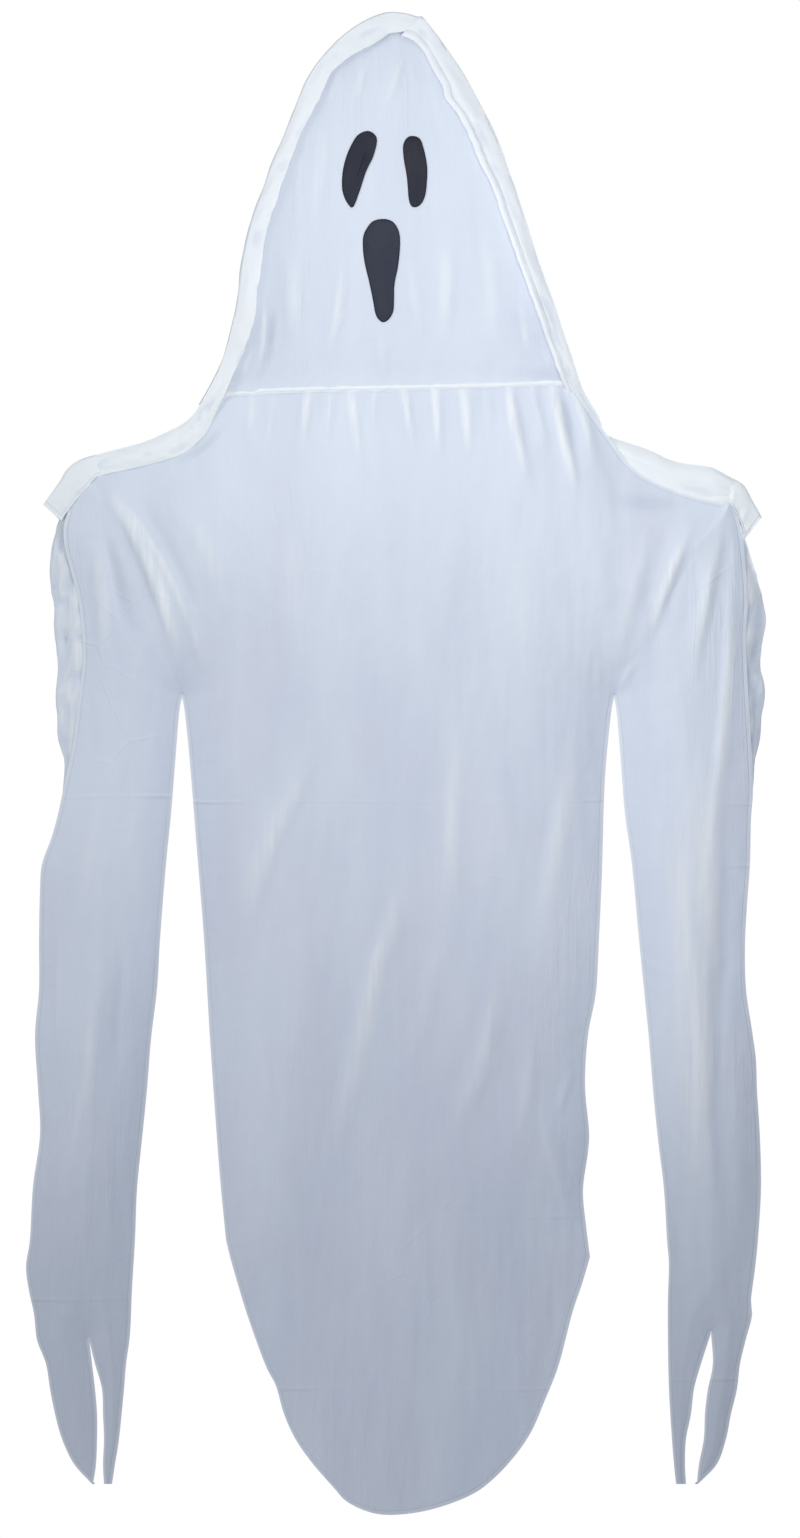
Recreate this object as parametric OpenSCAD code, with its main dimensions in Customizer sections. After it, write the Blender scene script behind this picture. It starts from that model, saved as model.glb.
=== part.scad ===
// Hanging cloth ghost: sewn robe, sleeves and hood on a plug-together rod frame
// It hangs by an eye behind the crown, and the origin is the centre of that eye
// Left and right are as seen from the front

/* [Head] */
// Height of the hood from its crown down to the neck rod
head_h = 532; // [480:1:580]
// How far the crown of the hood stands above the hang eye
crown_rise = 26; // [24:1:30]
// How far behind the frame the hang eye sits
eye_back = 36; // [34:1:44]
// How far the neck sits to the right of the crown
lean = 14; // [0:1:18]
// Reach of the hood to the left of the centre line, at the neck
hood_left = 262; // [256:1:285]
// Reach of the hood to the right of the centre line, at the neck
hood_right = 256; // [254:1:285]
// Width of the border that frames the face
border_w = 36; // [28:1:44]
// Depth of the hood in front of the frame
hood_front = 45; // [40:1:60]
// Depth of the hood behind the frame
hood_rear = 80; // [70:1:100]
// How far the face panel is recessed behind the hood border
face_recess = 16; // [10:1:20]

/* [Robe] */
// Drop from the neck rod to the shoulder bar
bar_drop = 122; // [112:1:140]
// Half the length of the shoulder bar
bar_half = 440; // [426:1:470]
// Drop from the shoulder bar to the armpit
armpit_drop = 316; // [280:1:350]
// Half width of the robe at the armpits
armpit_half = 306; // [290:1:316]
// Half width of the robe at the waist
waist_half = 267; // [250:1:290]
// Half width of the robe where the tail starts
hem_half = 250; // [230:1:270]
// Drop from the shoulder bar to the start of the tail
hem_drop = 1087; // [1000:1:1150]
// Length of the rounded tail
tail_drop = 389; // [300:1:450]
// How far the front and back panels stand off the frame
robe_depth = 36; // [28:1:44]
// Number of long folds across the robe
robe_folds = 4; // [2:1:5]
// Height of the long folds
fold_h = 8; // [3:0.5:9]

/* [Sleeves] */
// Drop from the shoulder bar to the fork between the two fingers
fork_drop = 1222; // [1150:1:1280]
// Length of the fingers
finger_len = 208; // [150:1:260]
// How far the sleeve panels stand off their middle
sleeve_depth = 24; // [18:1:30]
// Width of the gap between robe and sleeve panels at the armhole
armhole_gap = 4; // [4:0.5:6]
// Length of the shoulder flap beyond the end of the bar
flap_len = 78; // [60:1:90]
// How far the cape and the flaps hang down over the shoulder
cape_fall = 34; // [24:1:40]

/* [Cloth] */
// Thickness of the robe, sleeve, hood and face panels
cloth_t = 1.2; // [0.8:0.1:1.4]
// Thickness of the black eye and mouth patches
patch_t = 0.8; // [0.5:0.1:1.2]
// Gap left between pieces that are sewn to each other
sew_gap = 0.4; // [0.3:0.1:0.6]

/* [Frame] */
// Diameter of the bent hoop rods
hoop_d = 5; // [4:0.5:6]
// Diameter of the neck rod
neck_d = 6; // [5:0.5:7]
// Diameter of the spine and shoulder bars
bar_d = 8; // [6:0.5:9]
// Wall of the moulded connectors
wall = 2.6; // [2:0.1:3]
// Depth of the rod sockets
socket = 24; // [18:1:28]
// Clearance on the diameter of a plugged rod
plug_gap = 0.2; // [0.1:0.05:0.4]
// Clearance on the diameter of a turning piece
turn_gap = 0.16; // [0.1:0.02:0.2]
// Hole of the hang eye
eye_d = 9; // [6:0.5:10]
// Width of the hang eye across its hole
eye_w = 6; // [5:0.5:9]
// Width of the sleeve loops and hood ties
tape_w = 22; // [16:1:24]
// Thickness of the tape
tape_t = 1.2; // [0.8:0.1:1.4]
// Length of the caps on the bar ends
cap_len = 16; // [12:1:20]

/* [Hidden] */
$fn = 48;
neck_z = crown_rise - head_h;
bar_z = neck_z - bar_drop;
armpit_z = bar_z - armpit_drop;
waist_z = mix(armpit_z, bar_z - hem_drop, 0.66);
hem_z = bar_z - hem_drop;
tail_z = hem_z - tail_drop;
fork_z = bar_z - fork_drop;
finger_z = fork_z - finger_len;
crown_z = crown_rise - 16;
elbow_rise = 20;
hoop_h = crown_z - neck_z - elbow_rise;
hoop_half = hood_right - 18;
hoop_slope = atan2(2 * hoop_h, hoop_half + 2 * lean);
hoop_dir = [cos(hoop_slope), 0, -sin(hoop_slope)];
hoop_steps = 18;
hood_rows = 17;
hem_turn = 20;
face_lap = 5;
crown_tilt = 17;
neck_half = hoop_half + elbow_rise / tan(hoop_slope);
casing_d = neck_d + turn_gap + 2 * wall;
casing_half = neck_half - socket - 8;
clip_w = 26;
neck_top = neck_z - 1;
neck_y = casing_d / 2 + sew_gap + cloth_t / 2;
neck_span = casing_half - 4;
armhole_half = bar_half - 50;
tip_half = bar_half + 24;
tip_z = bar_z + 16;
seam_y = cloth_t / 2 + tape_t / 2 + sew_gap;
loop_x = bar_half - cap_len - tape_w / 2 - 4;
spine_top = neck_z - 10;
spine_low = bar_z + 7;
face_y = hood_front - face_recess;
left_eye_drop = [-52, -160, 21, -68, -238, 9];
right_eye_drop = [17, -164, 17, 23, -238, 10];
mouth_drop = [-26, -291, 26, -21, -392, 15];
cloth_white = [0.86, 0.9, 0.97];
border_white = [0.95, 0.97, 1];
patch_black = [0.05, 0.05, 0.06];
rod_white = [0.8, 0.82, 0.84];
plastic_white = [0.9, 0.9, 0.9];

// Numbers

function mix(a, b, t) = a + (b - a) * t;
function clamp(v, low, high) = max(low, min(high, v));
function ease(t) = let (c = clamp(t, 0, 1)) c * c * (3 - 2 * c);
function rise(d, reach) = 1 - exp(-max(0, d) / reach);

// Smooth curve through pairs of [height, value] listed from the top down
function curve_at(pairs, z) =
    let (
        n = len(pairs),
        i = clamp(len([for (p = pairs) if (p[0] > z) 1]) - 1, 0, n - 2),
        a = pairs[i],
        b = pairs[i + 1],
        step = b[0] - a[0],
        t = clamp((z - a[0]) / step, 0, 1),
        last = pairs[min(i + 2, n - 1)],
        first = pairs[max(i - 1, 0)],
        slope_a = (b[1] - first[1]) / (b[0] - first[0]),
        slope_b = (last[1] - a[1]) / (last[0] - a[0])
    )
    a[1] * (2 * t * t * t - 3 * t * t + 1) + step * slope_a * (t * t * t - 2 * t * t + t)
    + b[1] * (3 * t * t - 2 * t * t * t) + step * slope_b * (t * t * t - t * t);

// Sheets

// Closed sheet between two grids of points; the first grid faces forward when rows run down
module sheet(fore, rear) {
    rows = len(fore);
    cols = len(fore[0]);
    total = rows * cols;
    function a(r, c) = r * cols + c;
    function b(r, c) = total + r * cols + c;
    faces = concat(
        [for (r = [0 : rows - 2], c = [0 : cols - 2]) each [
            [a(r, c), a(r, c + 1), a(r + 1, c + 1)],
            [a(r, c), a(r + 1, c + 1), a(r + 1, c)],
            [b(r, c), b(r + 1, c + 1), b(r, c + 1)],
            [b(r, c), b(r + 1, c), b(r + 1, c + 1)]
        ]],
        [for (c = [0 : cols - 2]) each [
            [a(0, c), b(0, c), b(0, c + 1)],
            [a(0, c), b(0, c + 1), a(0, c + 1)],
            [a(rows - 1, c), a(rows - 1, c + 1), b(rows - 1, c + 1)],
            [a(rows - 1, c), b(rows - 1, c + 1), b(rows - 1, c)]
        ]],
        [for (r = [0 : rows - 2]) each [
            [b(r, 0), a(r, 0), a(r + 1, 0)],
            [b(r, 0), a(r + 1, 0), b(r + 1, 0)],
            [a(r, cols - 1), b(r, cols - 1), b(r + 1, cols - 1)],
            [a(r, cols - 1), b(r + 1, cols - 1), a(r + 1, cols - 1)]
        ]]
    );
    points = concat([for (row = fore) each row], [for (row = rear) each row]);
    polyhedron(points = points, faces = faces, convexity = 8);
}

// Closed sheet that forks into two tongues below one row, at one column
module forked_sheet(fore, rear, fork_row, fork_col) {
    rows = len(fore);
    cols = len(fore[0]);
    lower = len(fore[rows - 1]);
    total = (fork_row + 1) * cols + (rows - fork_row - 1) * lower;
    function start(r) = r <= fork_row ? r * cols : (fork_row + 1) * cols + (r - fork_row - 1) * lower;
    function a(r, c) = start(r) + c;
    function b(r, c) = total + start(r) + c;
    function inner(r, c) = r <= fork_row ? c : c + 1;
    faces = concat(
        [for (r = [0 : rows - 2], c = [0 : cols - 2])
            let (
                p = c < fork_col ? c : inner(r, c),
                q = c < fork_col ? c : inner(r + 1, c)
            )
            each [
                [a(r, p), a(r, p + 1), a(r + 1, q + 1)],
                [a(r, p), a(r + 1, q + 1), a(r + 1, q)],
                [b(r, p), b(r + 1, q + 1), b(r, p + 1)],
                [b(r, p), b(r + 1, q), b(r + 1, q + 1)]
            ]],
        [for (c = [0 : cols - 2]) each [
            [a(0, c), b(0, c), b(0, c + 1)],
            [a(0, c), b(0, c + 1), a(0, c + 1)]
        ]],
        [for (c = [0 : lower - 2]) if (c != fork_col) each [
            [a(rows - 1, c), a(rows - 1, c + 1), b(rows - 1, c + 1)],
            [a(rows - 1, c), b(rows - 1, c + 1), b(rows - 1, c)]
        ]],
        [for (r = [0 : rows - 2])
            let (
                p = inner(r, cols - 1),
                q = inner(r + 1, cols - 1)
            )
            each [
                [b(r, 0), a(r, 0), a(r + 1, 0)],
                [b(r, 0), a(r + 1, 0), b(r + 1, 0)],
                [a(r, p), b(r, p), b(r + 1, q)],
                [a(r, p), b(r + 1, q), a(r + 1, q)]
            ]],
        [for (r = [fork_row : rows - 2])
            let (p = inner(r, fork_col))
            each [
                [a(r, fork_col), b(r, fork_col), b(r + 1, fork_col)],
                [a(r, fork_col), b(r + 1, fork_col), a(r + 1, fork_col)],
                [b(r, p), a(r, p), a(r + 1, fork_col + 1)],
                [b(r, p), a(r + 1, fork_col + 1), b(r + 1, fork_col + 1)]
            ]]
    );
    points = concat([for (row = fore) each row], [for (row = rear) each row]);
    polyhedron(points = points, faces = faces, convexity = 8);
}

// Same grid moved along y, to give a sheet its thickness
function moved(grid, dy) = [for (row = grid) [for (p = row) p + [0, dy, 0]]];

// The body hangs below and in front of the eye
module hung() {
    translate([lean, -eye_back, 0]) children();
}

// Head

function hood_left_at(h) = hood_left * pow(h / head_h, 0.39);
function hood_right_at(h) = hood_right * pow(h / head_h, 0.55);
function hood_front_at(h) = hood_front * rise(h, 60) * (1 - 0.5 * ease((h - 400) / 132));
function hood_rear_at(h) = hood_rear * rise(h, 90) * (1 - 0.3 * ease((h - 300) / 240));
function opening(h) = pow(max(0, h - 25) / (head_h - 25), 0.45);
function hem_left(h) = max(0.6, (hood_left - border_w) * opening(h));
function hem_right(h) = max(0.6, (hood_right - border_w) * opening(h) * (0.82 + 0.18 * h / head_h));

// One point of the hood at a drop from the crown; turn runs from the left hem round the back
function hood_point(h, turn, inset) =
    let (
        left = hood_left_at(h) - inset,
        right = hood_right_at(h) - inset,
        front = hood_front_at(h) - inset,
        back = hood_rear_at(h) - inset,
        z = crown_rise - h
    )
    turn < 90 ? [-mix(hem_left(h), left, sin(turn)), -front * cos(turn), z]
    : turn > 270 ? [mix(hem_right(h), right, -sin(turn)), -front * cos(turn), z]
    : [mix(-left, right, (1 - cos(turn - 90)) / 2), back * pow(sin(turn - 90), 0.85), z];

// Rows of the hood, closer together near the crown, which the face panel shares
function hood_drop(r) = 6 + (head_h - 1) * pow(r / hood_rows, 1.5);

module hood() {
    turns = concat(
        [0, hem_turn, 42, 66, 90, 104, 118, 134, 150, 165, 180],
        [195, 210, 226, 242, 256, 270, 294, 318, 360 - hem_turn, 360]
    );
    // the back starts lower, which leaves the slit that the hang eye comes through
    function drop(r, turn) =
        hood_drop(r) + 26 * pow(max(0, -cos(turn)), 2) * (1 - r / hood_rows);
    color(border_white)
    hung() sheet(
        [for (r = [0 : hood_rows]) [for (t = turns) hood_point(drop(r, t), t, cloth_t)]],
        [for (r = [0 : hood_rows]) [for (t = turns) hood_point(drop(r, t), t, 0)]]
    );
}

// The panel's edge lies under the border, against the back of its first facet
function face_edge_y(h, border) =
    let (share = min(1, face_lap / (sin(hem_turn) * border)))
    -(hood_front_at(h) - cloth_t) * (1 - (1 - cos(hem_turn)) * share) + cloth_t / 2 + sew_gap;
function face_mid_y(h, edge) =
    -mix(min(face_y, -edge), 8, ease((h - head_h + 90) / 80));
function face_point(h, u) =
    let (
        hem = u < 0 ? hem_left(h) : hem_right(h),
        border = (u < 0 ? hood_left_at(h) : hood_right_at(h)) - cloth_t - hem,
        edge = face_edge_y(h, border),
        flat = 1 - ease((abs(u) - 0.625) / 0.375)
    )
    [u * (hem + face_lap), mix(edge, face_mid_y(h, edge), flat), crown_rise - h];

module face_panel() {
    cols = 16;
    // the last row stops short of the neck rod
    rows = concat([for (r = [2 : hood_rows - 1]) r], [hood_rows - 0.3]);
    function place(r, u) =
        let (above = floor(r))
        mix(face_point(hood_drop(above), u), face_point(hood_drop(above + 1), u), r - above);
    grid = [for (r = rows) [for (c = [-cols / 2 : cols / 2]) place(r, 2 * c / cols)]];
    color(cloth_white)
    hung() sheet(moved(grid, -cloth_t / 2), moved(grid, cloth_t / 2));
}

// Outline of a drop: a large round at the top, a small one below, and their tangents
function drop_outline(d) =
    let (
        from = [d[0], d[1]],
        to = [d[3], d[4]],
        way = atan2(to[1] - from[1], to[0] - from[0]),
        open = acos((d[2] - d[5]) / norm(to - from))
    )
    concat(
        [for (k = [0 : 24])
            let (a = way + open + (360 - 2 * open) * k / 24)
            from + d[2] * [cos(a), sin(a)]],
        [for (k = [0 : 12])
            let (a = way - open + 2 * open * k / 12)
            to + d[5] * [cos(a), sin(a)]]
    );

module patch(d) {
    color(patch_black)
    hung()
    translate([0, -face_y - cloth_t / 2 - 0.1, 0])
    rotate([90, 0, 0]) linear_extrude(patch_t) polygon(drop_outline(d));
}

module left_eye() {
    patch(left_eye_drop);
}

module right_eye() {
    patch(right_eye_drop);
}

module mouth() {
    patch(mouth_drop);
}

// Frame of the head

function hoop_point(side, t) = [
    side * hoop_half * t - lean * (1 - t * t), 0, crown_z - hoop_h * t * t
];

// Round rod through a list of points in the xz plane
module bent_rod(path, d) {
    sides = 10;
    last = len(path) - 1;
    function way(i) =
        let (v = path[min(i + 1, last)] - path[max(i - 1, 0)])
        v / norm(v);
    points = [for (i = [0 : last], k = [0 : sides - 1])
        let (w = way(i), a = 360 * k / sides)
        path[i] + d / 2 * (cos(a) * [0, 1, 0] + sin(a) * [-w[2], 0, w[0]])];
    faces = concat(
        [[for (k = [0 : sides - 1]) k]],
        [[for (k = [sides - 1 : -1 : 0]) last * sides + k]],
        [for (i = [0 : last - 1], k = [0 : sides - 1])
            let (n = (k + 1) % sides)
            each [
                [i * sides + k, (i + 1) * sides + n, i * sides + n],
                [i * sides + k, (i + 1) * sides + k, (i + 1) * sides + n]
            ]]
    );
    polyhedron(points = points, faces = faces, convexity = 6);
}

module hoop_rod(side) {
    crown_way = [side * cos(crown_tilt), 0, -sin(crown_tilt)];
    crown = [-lean, 0, crown_z];
    foot = hoop_point(side, 1);
    foot_way = [side * hoop_dir[0], 0, hoop_dir[2]];
    path = concat(
        [crown + 4 * crown_way, crown + (socket + 6) * crown_way],
        [for (k = [3 : hoop_steps - 1]) hoop_point(side, k / hoop_steps)],
        [foot - (socket - 2) * foot_way, foot + (elbow_rise - 7) * foot_way]
    );
    color(rod_white)
    hung() bent_rod(path, hoop_d);
}

module left_hoop_rod() {
    hoop_rod(-1);
}

module right_hoop_rod() {
    hoop_rod(1);
}

module crown_connector() {
    bore = hoop_d + plug_gap;
    outer = bore + 2 * wall;
    long = socket + 4;
    lug_w = eye_w - 1;
    color(plastic_white)
    difference() {
        union() {
            for (side = [-1, 1])
                translate([0, -eye_back, crown_z])
                rotate([0, 90 * side + side * crown_tilt, 0]) {
                    cylinder(d = outer, h = long);
                    translate([0, 0, long - 4]) cylinder(d = outer + 2, h = 4);
                }
            translate([0, -eye_back, crown_z])
            rotate([90, 0, 0]) cylinder(d = outer + 2, h = outer + 1, center = true);
            // lug back to the eye
            translate([-lug_w / 2, -eye_back, crown_z - 5]) cube([lug_w, eye_back - eye_d / 2, 7]);
            rotate([0, 90, 0]) cylinder(d = eye_d + 2 * wall + 2, h = eye_w, center = true);
        }
        for (side = [-1, 1])
            translate([0, -eye_back, crown_z])
            rotate([0, 90 * side + side * crown_tilt, 0])
            translate([0, 0, 3.5]) cylinder(d = bore, h = long);
        rotate([0, 90, 0]) cylinder(d = eye_d, h = eye_w + 2, center = true);
    }
}

module neck_elbow(side) {
    hoop_bore = hoop_d + plug_gap;
    neck_bore = neck_d + plug_gap;
    outer = neck_bore + 2 * wall;
    color(plastic_white)
    hung()
    translate([side * neck_half, 0, neck_z])
    difference() {
        union() {
            sphere(d = outer);
            rotate([0, -90 * side, 0]) {
                cylinder(d = outer, h = socket + 4);
                translate([0, 0, socket]) cylinder(d = outer + 1.6, h = 4);
            }
            rotate([0, side * (hoop_slope - 90), 0]) {
                cylinder(d = hoop_bore + 2 * wall, h = socket + elbow_rise - 10);
                translate([0, 0, socket + elbow_rise - 14])
                cylinder(d = hoop_bore + 2 * wall + 1.6, h = 4);
            }
            // web between the two sockets
            translate([side * -socket * 0.62, 0, 0])
            rotate([90, 0, 0]) translate([0, 0, -1.2])
            linear_extrude(2.4)
            polygon([[0, 0], [side * socket * 0.62, 0], [side * socket * 0.52, socket * 0.72]]);
        }
        rotate([0, -90 * side, 0]) translate([0, 0, 4]) cylinder(d = neck_bore, h = socket + 4);
        rotate([0, side * (hoop_slope - 90), 0])
        translate([0, 0, 6.5]) cylinder(d = hoop_bore, h = socket + elbow_rise);
    }
}

module left_neck_elbow() {
    neck_elbow(-1);
}

module right_neck_elbow() {
    neck_elbow(1);
}

module neck_rod() {
    color(rod_white)
    hung()
    translate([0, 0, neck_z])
    rotate([0, 90, 0]) cylinder(d = neck_d, h = 2 * neck_half - 10, center = true);
}

// Tapes that tie the hood to the hoop
module hood_ties() {
    color(border_white)
    hung()
    for (side = [-1, 1], k = [8, 12, 15])
        let (
            above = hoop_point(side, k / hoop_steps),
            below = hoop_point(side, (k + 1) / hoop_steps),
            at = (above + below) / 2,
            tilt = atan2(above[0] - below[0], above[2] - below[2]),
            h = crown_rise - at[2],
            skin = (side < 0 ? hood_left_at(h) : hood_right_at(h)) - cloth_t,
            reach = (skin - abs(at[0])) * cos(tilt) - sew_gap - 1,
            from = (hoop_d + plug_gap + tape_t) / 2
        )
        translate(at)
        rotate([0, tilt, 0]) {
            difference() {
                cylinder(d = hoop_d + plug_gap + 2 * tape_t, h = tape_w / 2, center = true);
                cylinder(d = hoop_d + plug_gap, h = tape_w, center = true);
            }
            translate([side > 0 ? from : -reach, -tape_t / 2, -tape_w / 4])
            cube([reach - from, tape_t, tape_w / 2]);
        }
}

// Torso frame

module neck_casing() {
    color(cloth_white)
    hung()
    for (side = [-1, 1])
        translate([side * (casing_half + clip_w / 2 + 1) / 2, 0, neck_z])
        rotate([0, 90, 0])
        difference() {
            cylinder(d = casing_d, h = casing_half - clip_w / 2 - 1, center = true);
            cylinder(d = neck_d + turn_gap, h = 2 * casing_half, center = true);
        }
}

module neck_clip() {
    color(plastic_white)
    hung()
    translate([0, 0, neck_z])
    difference() {
        union() {
            rotate([0, 90, 0]) cylinder(d = casing_d, h = clip_w, center = true);
            translate([0, 0, -socket - 8]) cylinder(d = bar_d + plug_gap + 2 * wall, h = socket + 8);
            translate([0, 0, -socket - 8]) cylinder(d = bar_d + plug_gap + 2 * wall + 1.6, h = 4);
        }
        rotate([0, 90, 0]) cylinder(d = neck_d + turn_gap, h = clip_w + 2, center = true);
        translate([0, 0, -socket - 9]) cylinder(d = bar_d + plug_gap, h = socket + 1);
        // mouth of the snap hook
        translate([-clip_w, neck_d * 0.1, 0]) cube([2 * clip_w, casing_d, neck_d * 0.66]);
    }
}

module spine_rod() {
    color(rod_white)
    hung()
    translate([0, 0, spine_low]) cylinder(d = bar_d, h = spine_top - spine_low);
}

module shoulder_hub() {
    bore = bar_d + plug_gap;
    outer = bore + 2 * wall;
    color(plastic_white)
    hung()
    translate([0, 0, bar_z])
    difference() {
        union() {
            rotate([0, 90, 0]) cylinder(d = outer, h = 2 * socket + 8, center = true);
            cylinder(d = outer, h = socket + 8);
            for (side = [-1, 1])
                translate([side * (socket + 2), 0, 0])
                rotate([0, 90, 0]) cylinder(d = outer + 2, h = 4, center = true);
            translate([0, 0, socket + 4]) cylinder(d = outer + 2, h = 4);
            // web under the upright socket
            rotate([90, 0, 0]) translate([0, 0, -1.5])
            linear_extrude(3) polygon([[-socket, 0], [socket, 0], [4, socket], [-4, socket]]);
        }
        for (side = [-1, 1])
            rotate([0, 90 * side, 0]) translate([0, 0, 2]) cylinder(d = bore, h = socket + 6);
        translate([0, 0, 6]) cylinder(d = bore, h = socket + 6);
    }
}

module shoulder_bar(side) {
    color(rod_white)
    hung()
    translate([side * 3, 0, bar_z])
    rotate([0, 90 * side, 0]) cylinder(d = bar_d, h = bar_half - 6);
}

module left_shoulder_bar() {
    shoulder_bar(-1);
}

module right_shoulder_bar() {
    shoulder_bar(1);
}

module bar_cap(side) {
    bore = bar_d + plug_gap;
    outer = bore + 2 * wall;
    color(plastic_white)
    hung()
    translate([side * (bar_half - cap_len), 0, bar_z])
    rotate([0, 90 * side, 0])
    difference() {
        union() {
            cylinder(d = outer, h = cap_len - 3);
            translate([0, 0, cap_len - 3]) cylinder(d1 = outer, d2 = outer - 5, h = 3);
            cylinder(d = outer + 2, h = 2);
        }
        translate([0, 0, -1]) cylinder(d = bore, h = cap_len - 1);
    }
}

module left_bar_cap() {
    bar_cap(-1);
}

module right_bar_cap() {
    bar_cap(1);
}

// Robe

// Height of the shoulder seam at a distance from the centre line
function seam_z(x) =
    let (s = clamp((abs(x) - neck_span) / (tip_half - neck_span), 0, 1))
    mix(neck_top, tip_z, 1 - pow(1 - s, 1.6));

robe_side = [
    [bar_z, armhole_half],
    [mix(bar_z, armpit_z, 0.5), mix(armhole_half, armpit_half, 0.48)],
    [armpit_z, armpit_half],
    [waist_z, waist_half],
    [hem_z, hem_half],
    [tail_z, hem_half - 4]
];

function robe_half(z) = curve_at(robe_side, z);
function tail_end(u) = hem_z - tail_drop * sqrt(max(0, 1 - pow(abs(u), 1.67)));

// How far a robe or sleeve panel stands off at a height
function robe_reach(z) = robe_depth * mix(0.7, 1, ease((z - tail_z) / 900));
function sleeve_reach(z) = mix(sleeve_depth, robe_depth, ease((z - armpit_z + 60) / 240));

// Depth of a panel at its top edge: round the casing at the neck, drawn in at the shoulders
function top_y(x) = mix(neck_y, seam_y, ease((abs(x) - neck_span - 8) / 25));

// Depth a panel gains with its drop below the top edge and its distance from a side seam
function panel_gain(reach, drop, side, open) = reach * rise(drop, 26) * mix(rise(side, 34), 1, open);

// One point of a robe panel: u runs across, v runs down
function robe_point(u, v, face) =
    let (
        top = seam_z(u * armhole_half),
        z = mix(top, tail_end(u), pow(v, 1.25)),
        half = robe_half(z),
        side = (1 - abs(u)) * half,
        open = ease((z - armpit_z + 30) / 60),
        edge = mix(seam_y, top_y(u * armhole_half), exp((z - top) / 60)),
        depth = edge + panel_gain(robe_reach(z), top - z, side, open),
        swell = rise(top - z, 60) * rise(side, 60),
        slant = face < 0 ? 0.55 : 0.2,
        fold = fold_h * swell * sin(360 * (robe_folds * (u / 2 + 0.06) - slant * v))
    )
    [u * half, face * (depth + fold), z];

module robe_panel(face, rows, cols) {
    grid = [for (r = [0 : rows]) [for (c = [0 : cols]) robe_point(2 * c / cols - 1, r / rows, face)]];
    color(cloth_white)
    hung() sheet(moved(grid, -cloth_t / 2), moved(grid, cloth_t / 2));
}

module robe_front() {
    robe_panel(-1, 20, 22);
}

module robe_back() {
    robe_panel(1, 16, 20);
}

// Capes over the shoulders

// Point on the outside of a shoulder: drop is measured down from the seam, front is -1 and back is 1
function shoulder_skin(drop, face, off) =
    let (lift = 90 * rise(drop, 9))
    [
        face * (seam_y + panel_gain(robe_depth, drop, 0, 1) + fold_h * rise(drop, 60) + off),
        -drop + (off - cloth_t / 2) * cos(lift)
    ];

function cape_drops() = [
    for (k = [4 : -1 : 1]) [1, cape_fall * 1.3 * pow(k / 4, 1.4)],
    [1, 0],
    [-1, 0],
    for (k = [1 : 4]) [-1, cape_fall * pow(k / 4, 1.4)]
];

module cape(side) {
    cols = 7;
    from = hood_left + 10;
    to = armhole_half - 2;
    function grid(off) = [for (d = cape_drops()) [for (c = [0 : cols])
        let (
            x = mix(side > 0 ? from : -to, side > 0 ? to : -from, c / cols),
            p = shoulder_skin(d[1], d[0], off)
        )
        [x, p[0], seam_z(x) + p[1]]]];
    color(border_white)
    hung() sheet(grid(1.5 * cloth_t + sew_gap), grid(0.5 * cloth_t + sew_gap));
}

module left_cape() {
    cape(-1);
}

module right_cape() {
    cape(1);
}

// Sleeves, drawn for the right-hand side and mirrored

// Outer edge as [drop below the bar, reach beyond the bar end]
outer_edge = [
    [-16, 24], [52, 50], [120, 62], [320, 60], [420, 51],
    [560, 61], [780, 63], [1070, 77], [1140, 75]
];
sleeve_outer = concat(
    [for (p = outer_edge) if (p[0] < fork_drop - 40) [bar_z - p[0], bar_half + p[1]]],
    [[fork_z, bar_half + 65], [mix(fork_z, finger_z, 0.55), bar_half + 38], [finger_z, bar_half + 2]]
);
sleeve_inner = [
    [armpit_z, armpit_half + armhole_gap],
    [mix(armpit_z, fork_z, 0.3), bar_half - 106],
    [mix(armpit_z, fork_z, 0.62), bar_half - 79],
    [fork_z, bar_half - 57],
    [finger_z, bar_half - 38]
];
// Edges of the gap between the two fingers
knuckle_z = mix(fork_z, finger_z, 0.36);
gap_outer = [[fork_z, bar_half + 1], [knuckle_z, bar_half - 5], [finger_z, bar_half - 10]];
gap_inner = [[fork_z, bar_half + 1], [knuckle_z, bar_half - 20], [finger_z, bar_half - 26]];

function sleeve_in(z) =
    z > armpit_z ? robe_half(z) + armhole_gap : curve_at(sleeve_inner, z);

function sleeve_y(x, z, top, face) =
    let (
        out = curve_at(sleeve_outer, z) - x,
        in = x - sleeve_in(z),
        open = ease((z - armpit_z + 30) / 60),
        reach = sleeve_reach(z),
        gain = min(panel_gain(reach, top - z, out, 0), panel_gain(reach, top - z, in, open)),
        fold = 0.6 * fold_h * rise(top - z, 90) * rise(min(out, mix(in, 60, open)), 30)
            * sin(360 * (out / 120 + (bar_z - z) / 1900))
    )
    face * (seam_y + gain + fold);

module sleeve_panel(face, rows, half_cols) {
    first = bar_z - 14;
    levels = [for (r = [1 : rows]) r < rows - 4
        ? mix(first, fork_z, pow((r - 1) / (rows - 5), 1.15))
        : mix(fork_z, finger_z, (r - rows + 4) / 4)];
    fork_row = rows - 4;
    fork_in = curve_at(sleeve_inner, fork_z);
    fork_share = (bar_half + 1 - fork_in) / (curve_at(sleeve_outer, fork_z) - fork_in);
    function across(z) =
        let (
            out = curve_at(sleeve_outer, z),
            in = sleeve_in(z),
            middle = mix(in, out, fork_share)
        )
        z >= fork_z
        ? concat(
            [for (c = [0 : half_cols]) mix(in, middle, c / half_cols)],
            [for (c = [1 : half_cols]) mix(middle, out, c / half_cols)])
        : concat(
            [for (c = [0 : half_cols]) mix(in, curve_at(gap_inner, z), c / half_cols)],
            [for (c = [0 : half_cols]) mix(curve_at(gap_outer, z), out, c / half_cols)]);
    top_row = [for (c = [0 : 2 * half_cols])
        let (x = mix(armhole_half + armhole_gap, tip_half - 4, c / (2 * half_cols)))
        [x, face * seam_y, seam_z(x)]];
    grid = concat(
        [top_row],
        [for (z = levels) [for (x = across(z)) [x, sleeve_y(x, z, seam_z(x), face), z]]]
    );
    color(cloth_white)
    forked_sheet(moved(grid, -cloth_t / 2), moved(grid, cloth_t / 2), fork_row, half_cols);
}

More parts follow.
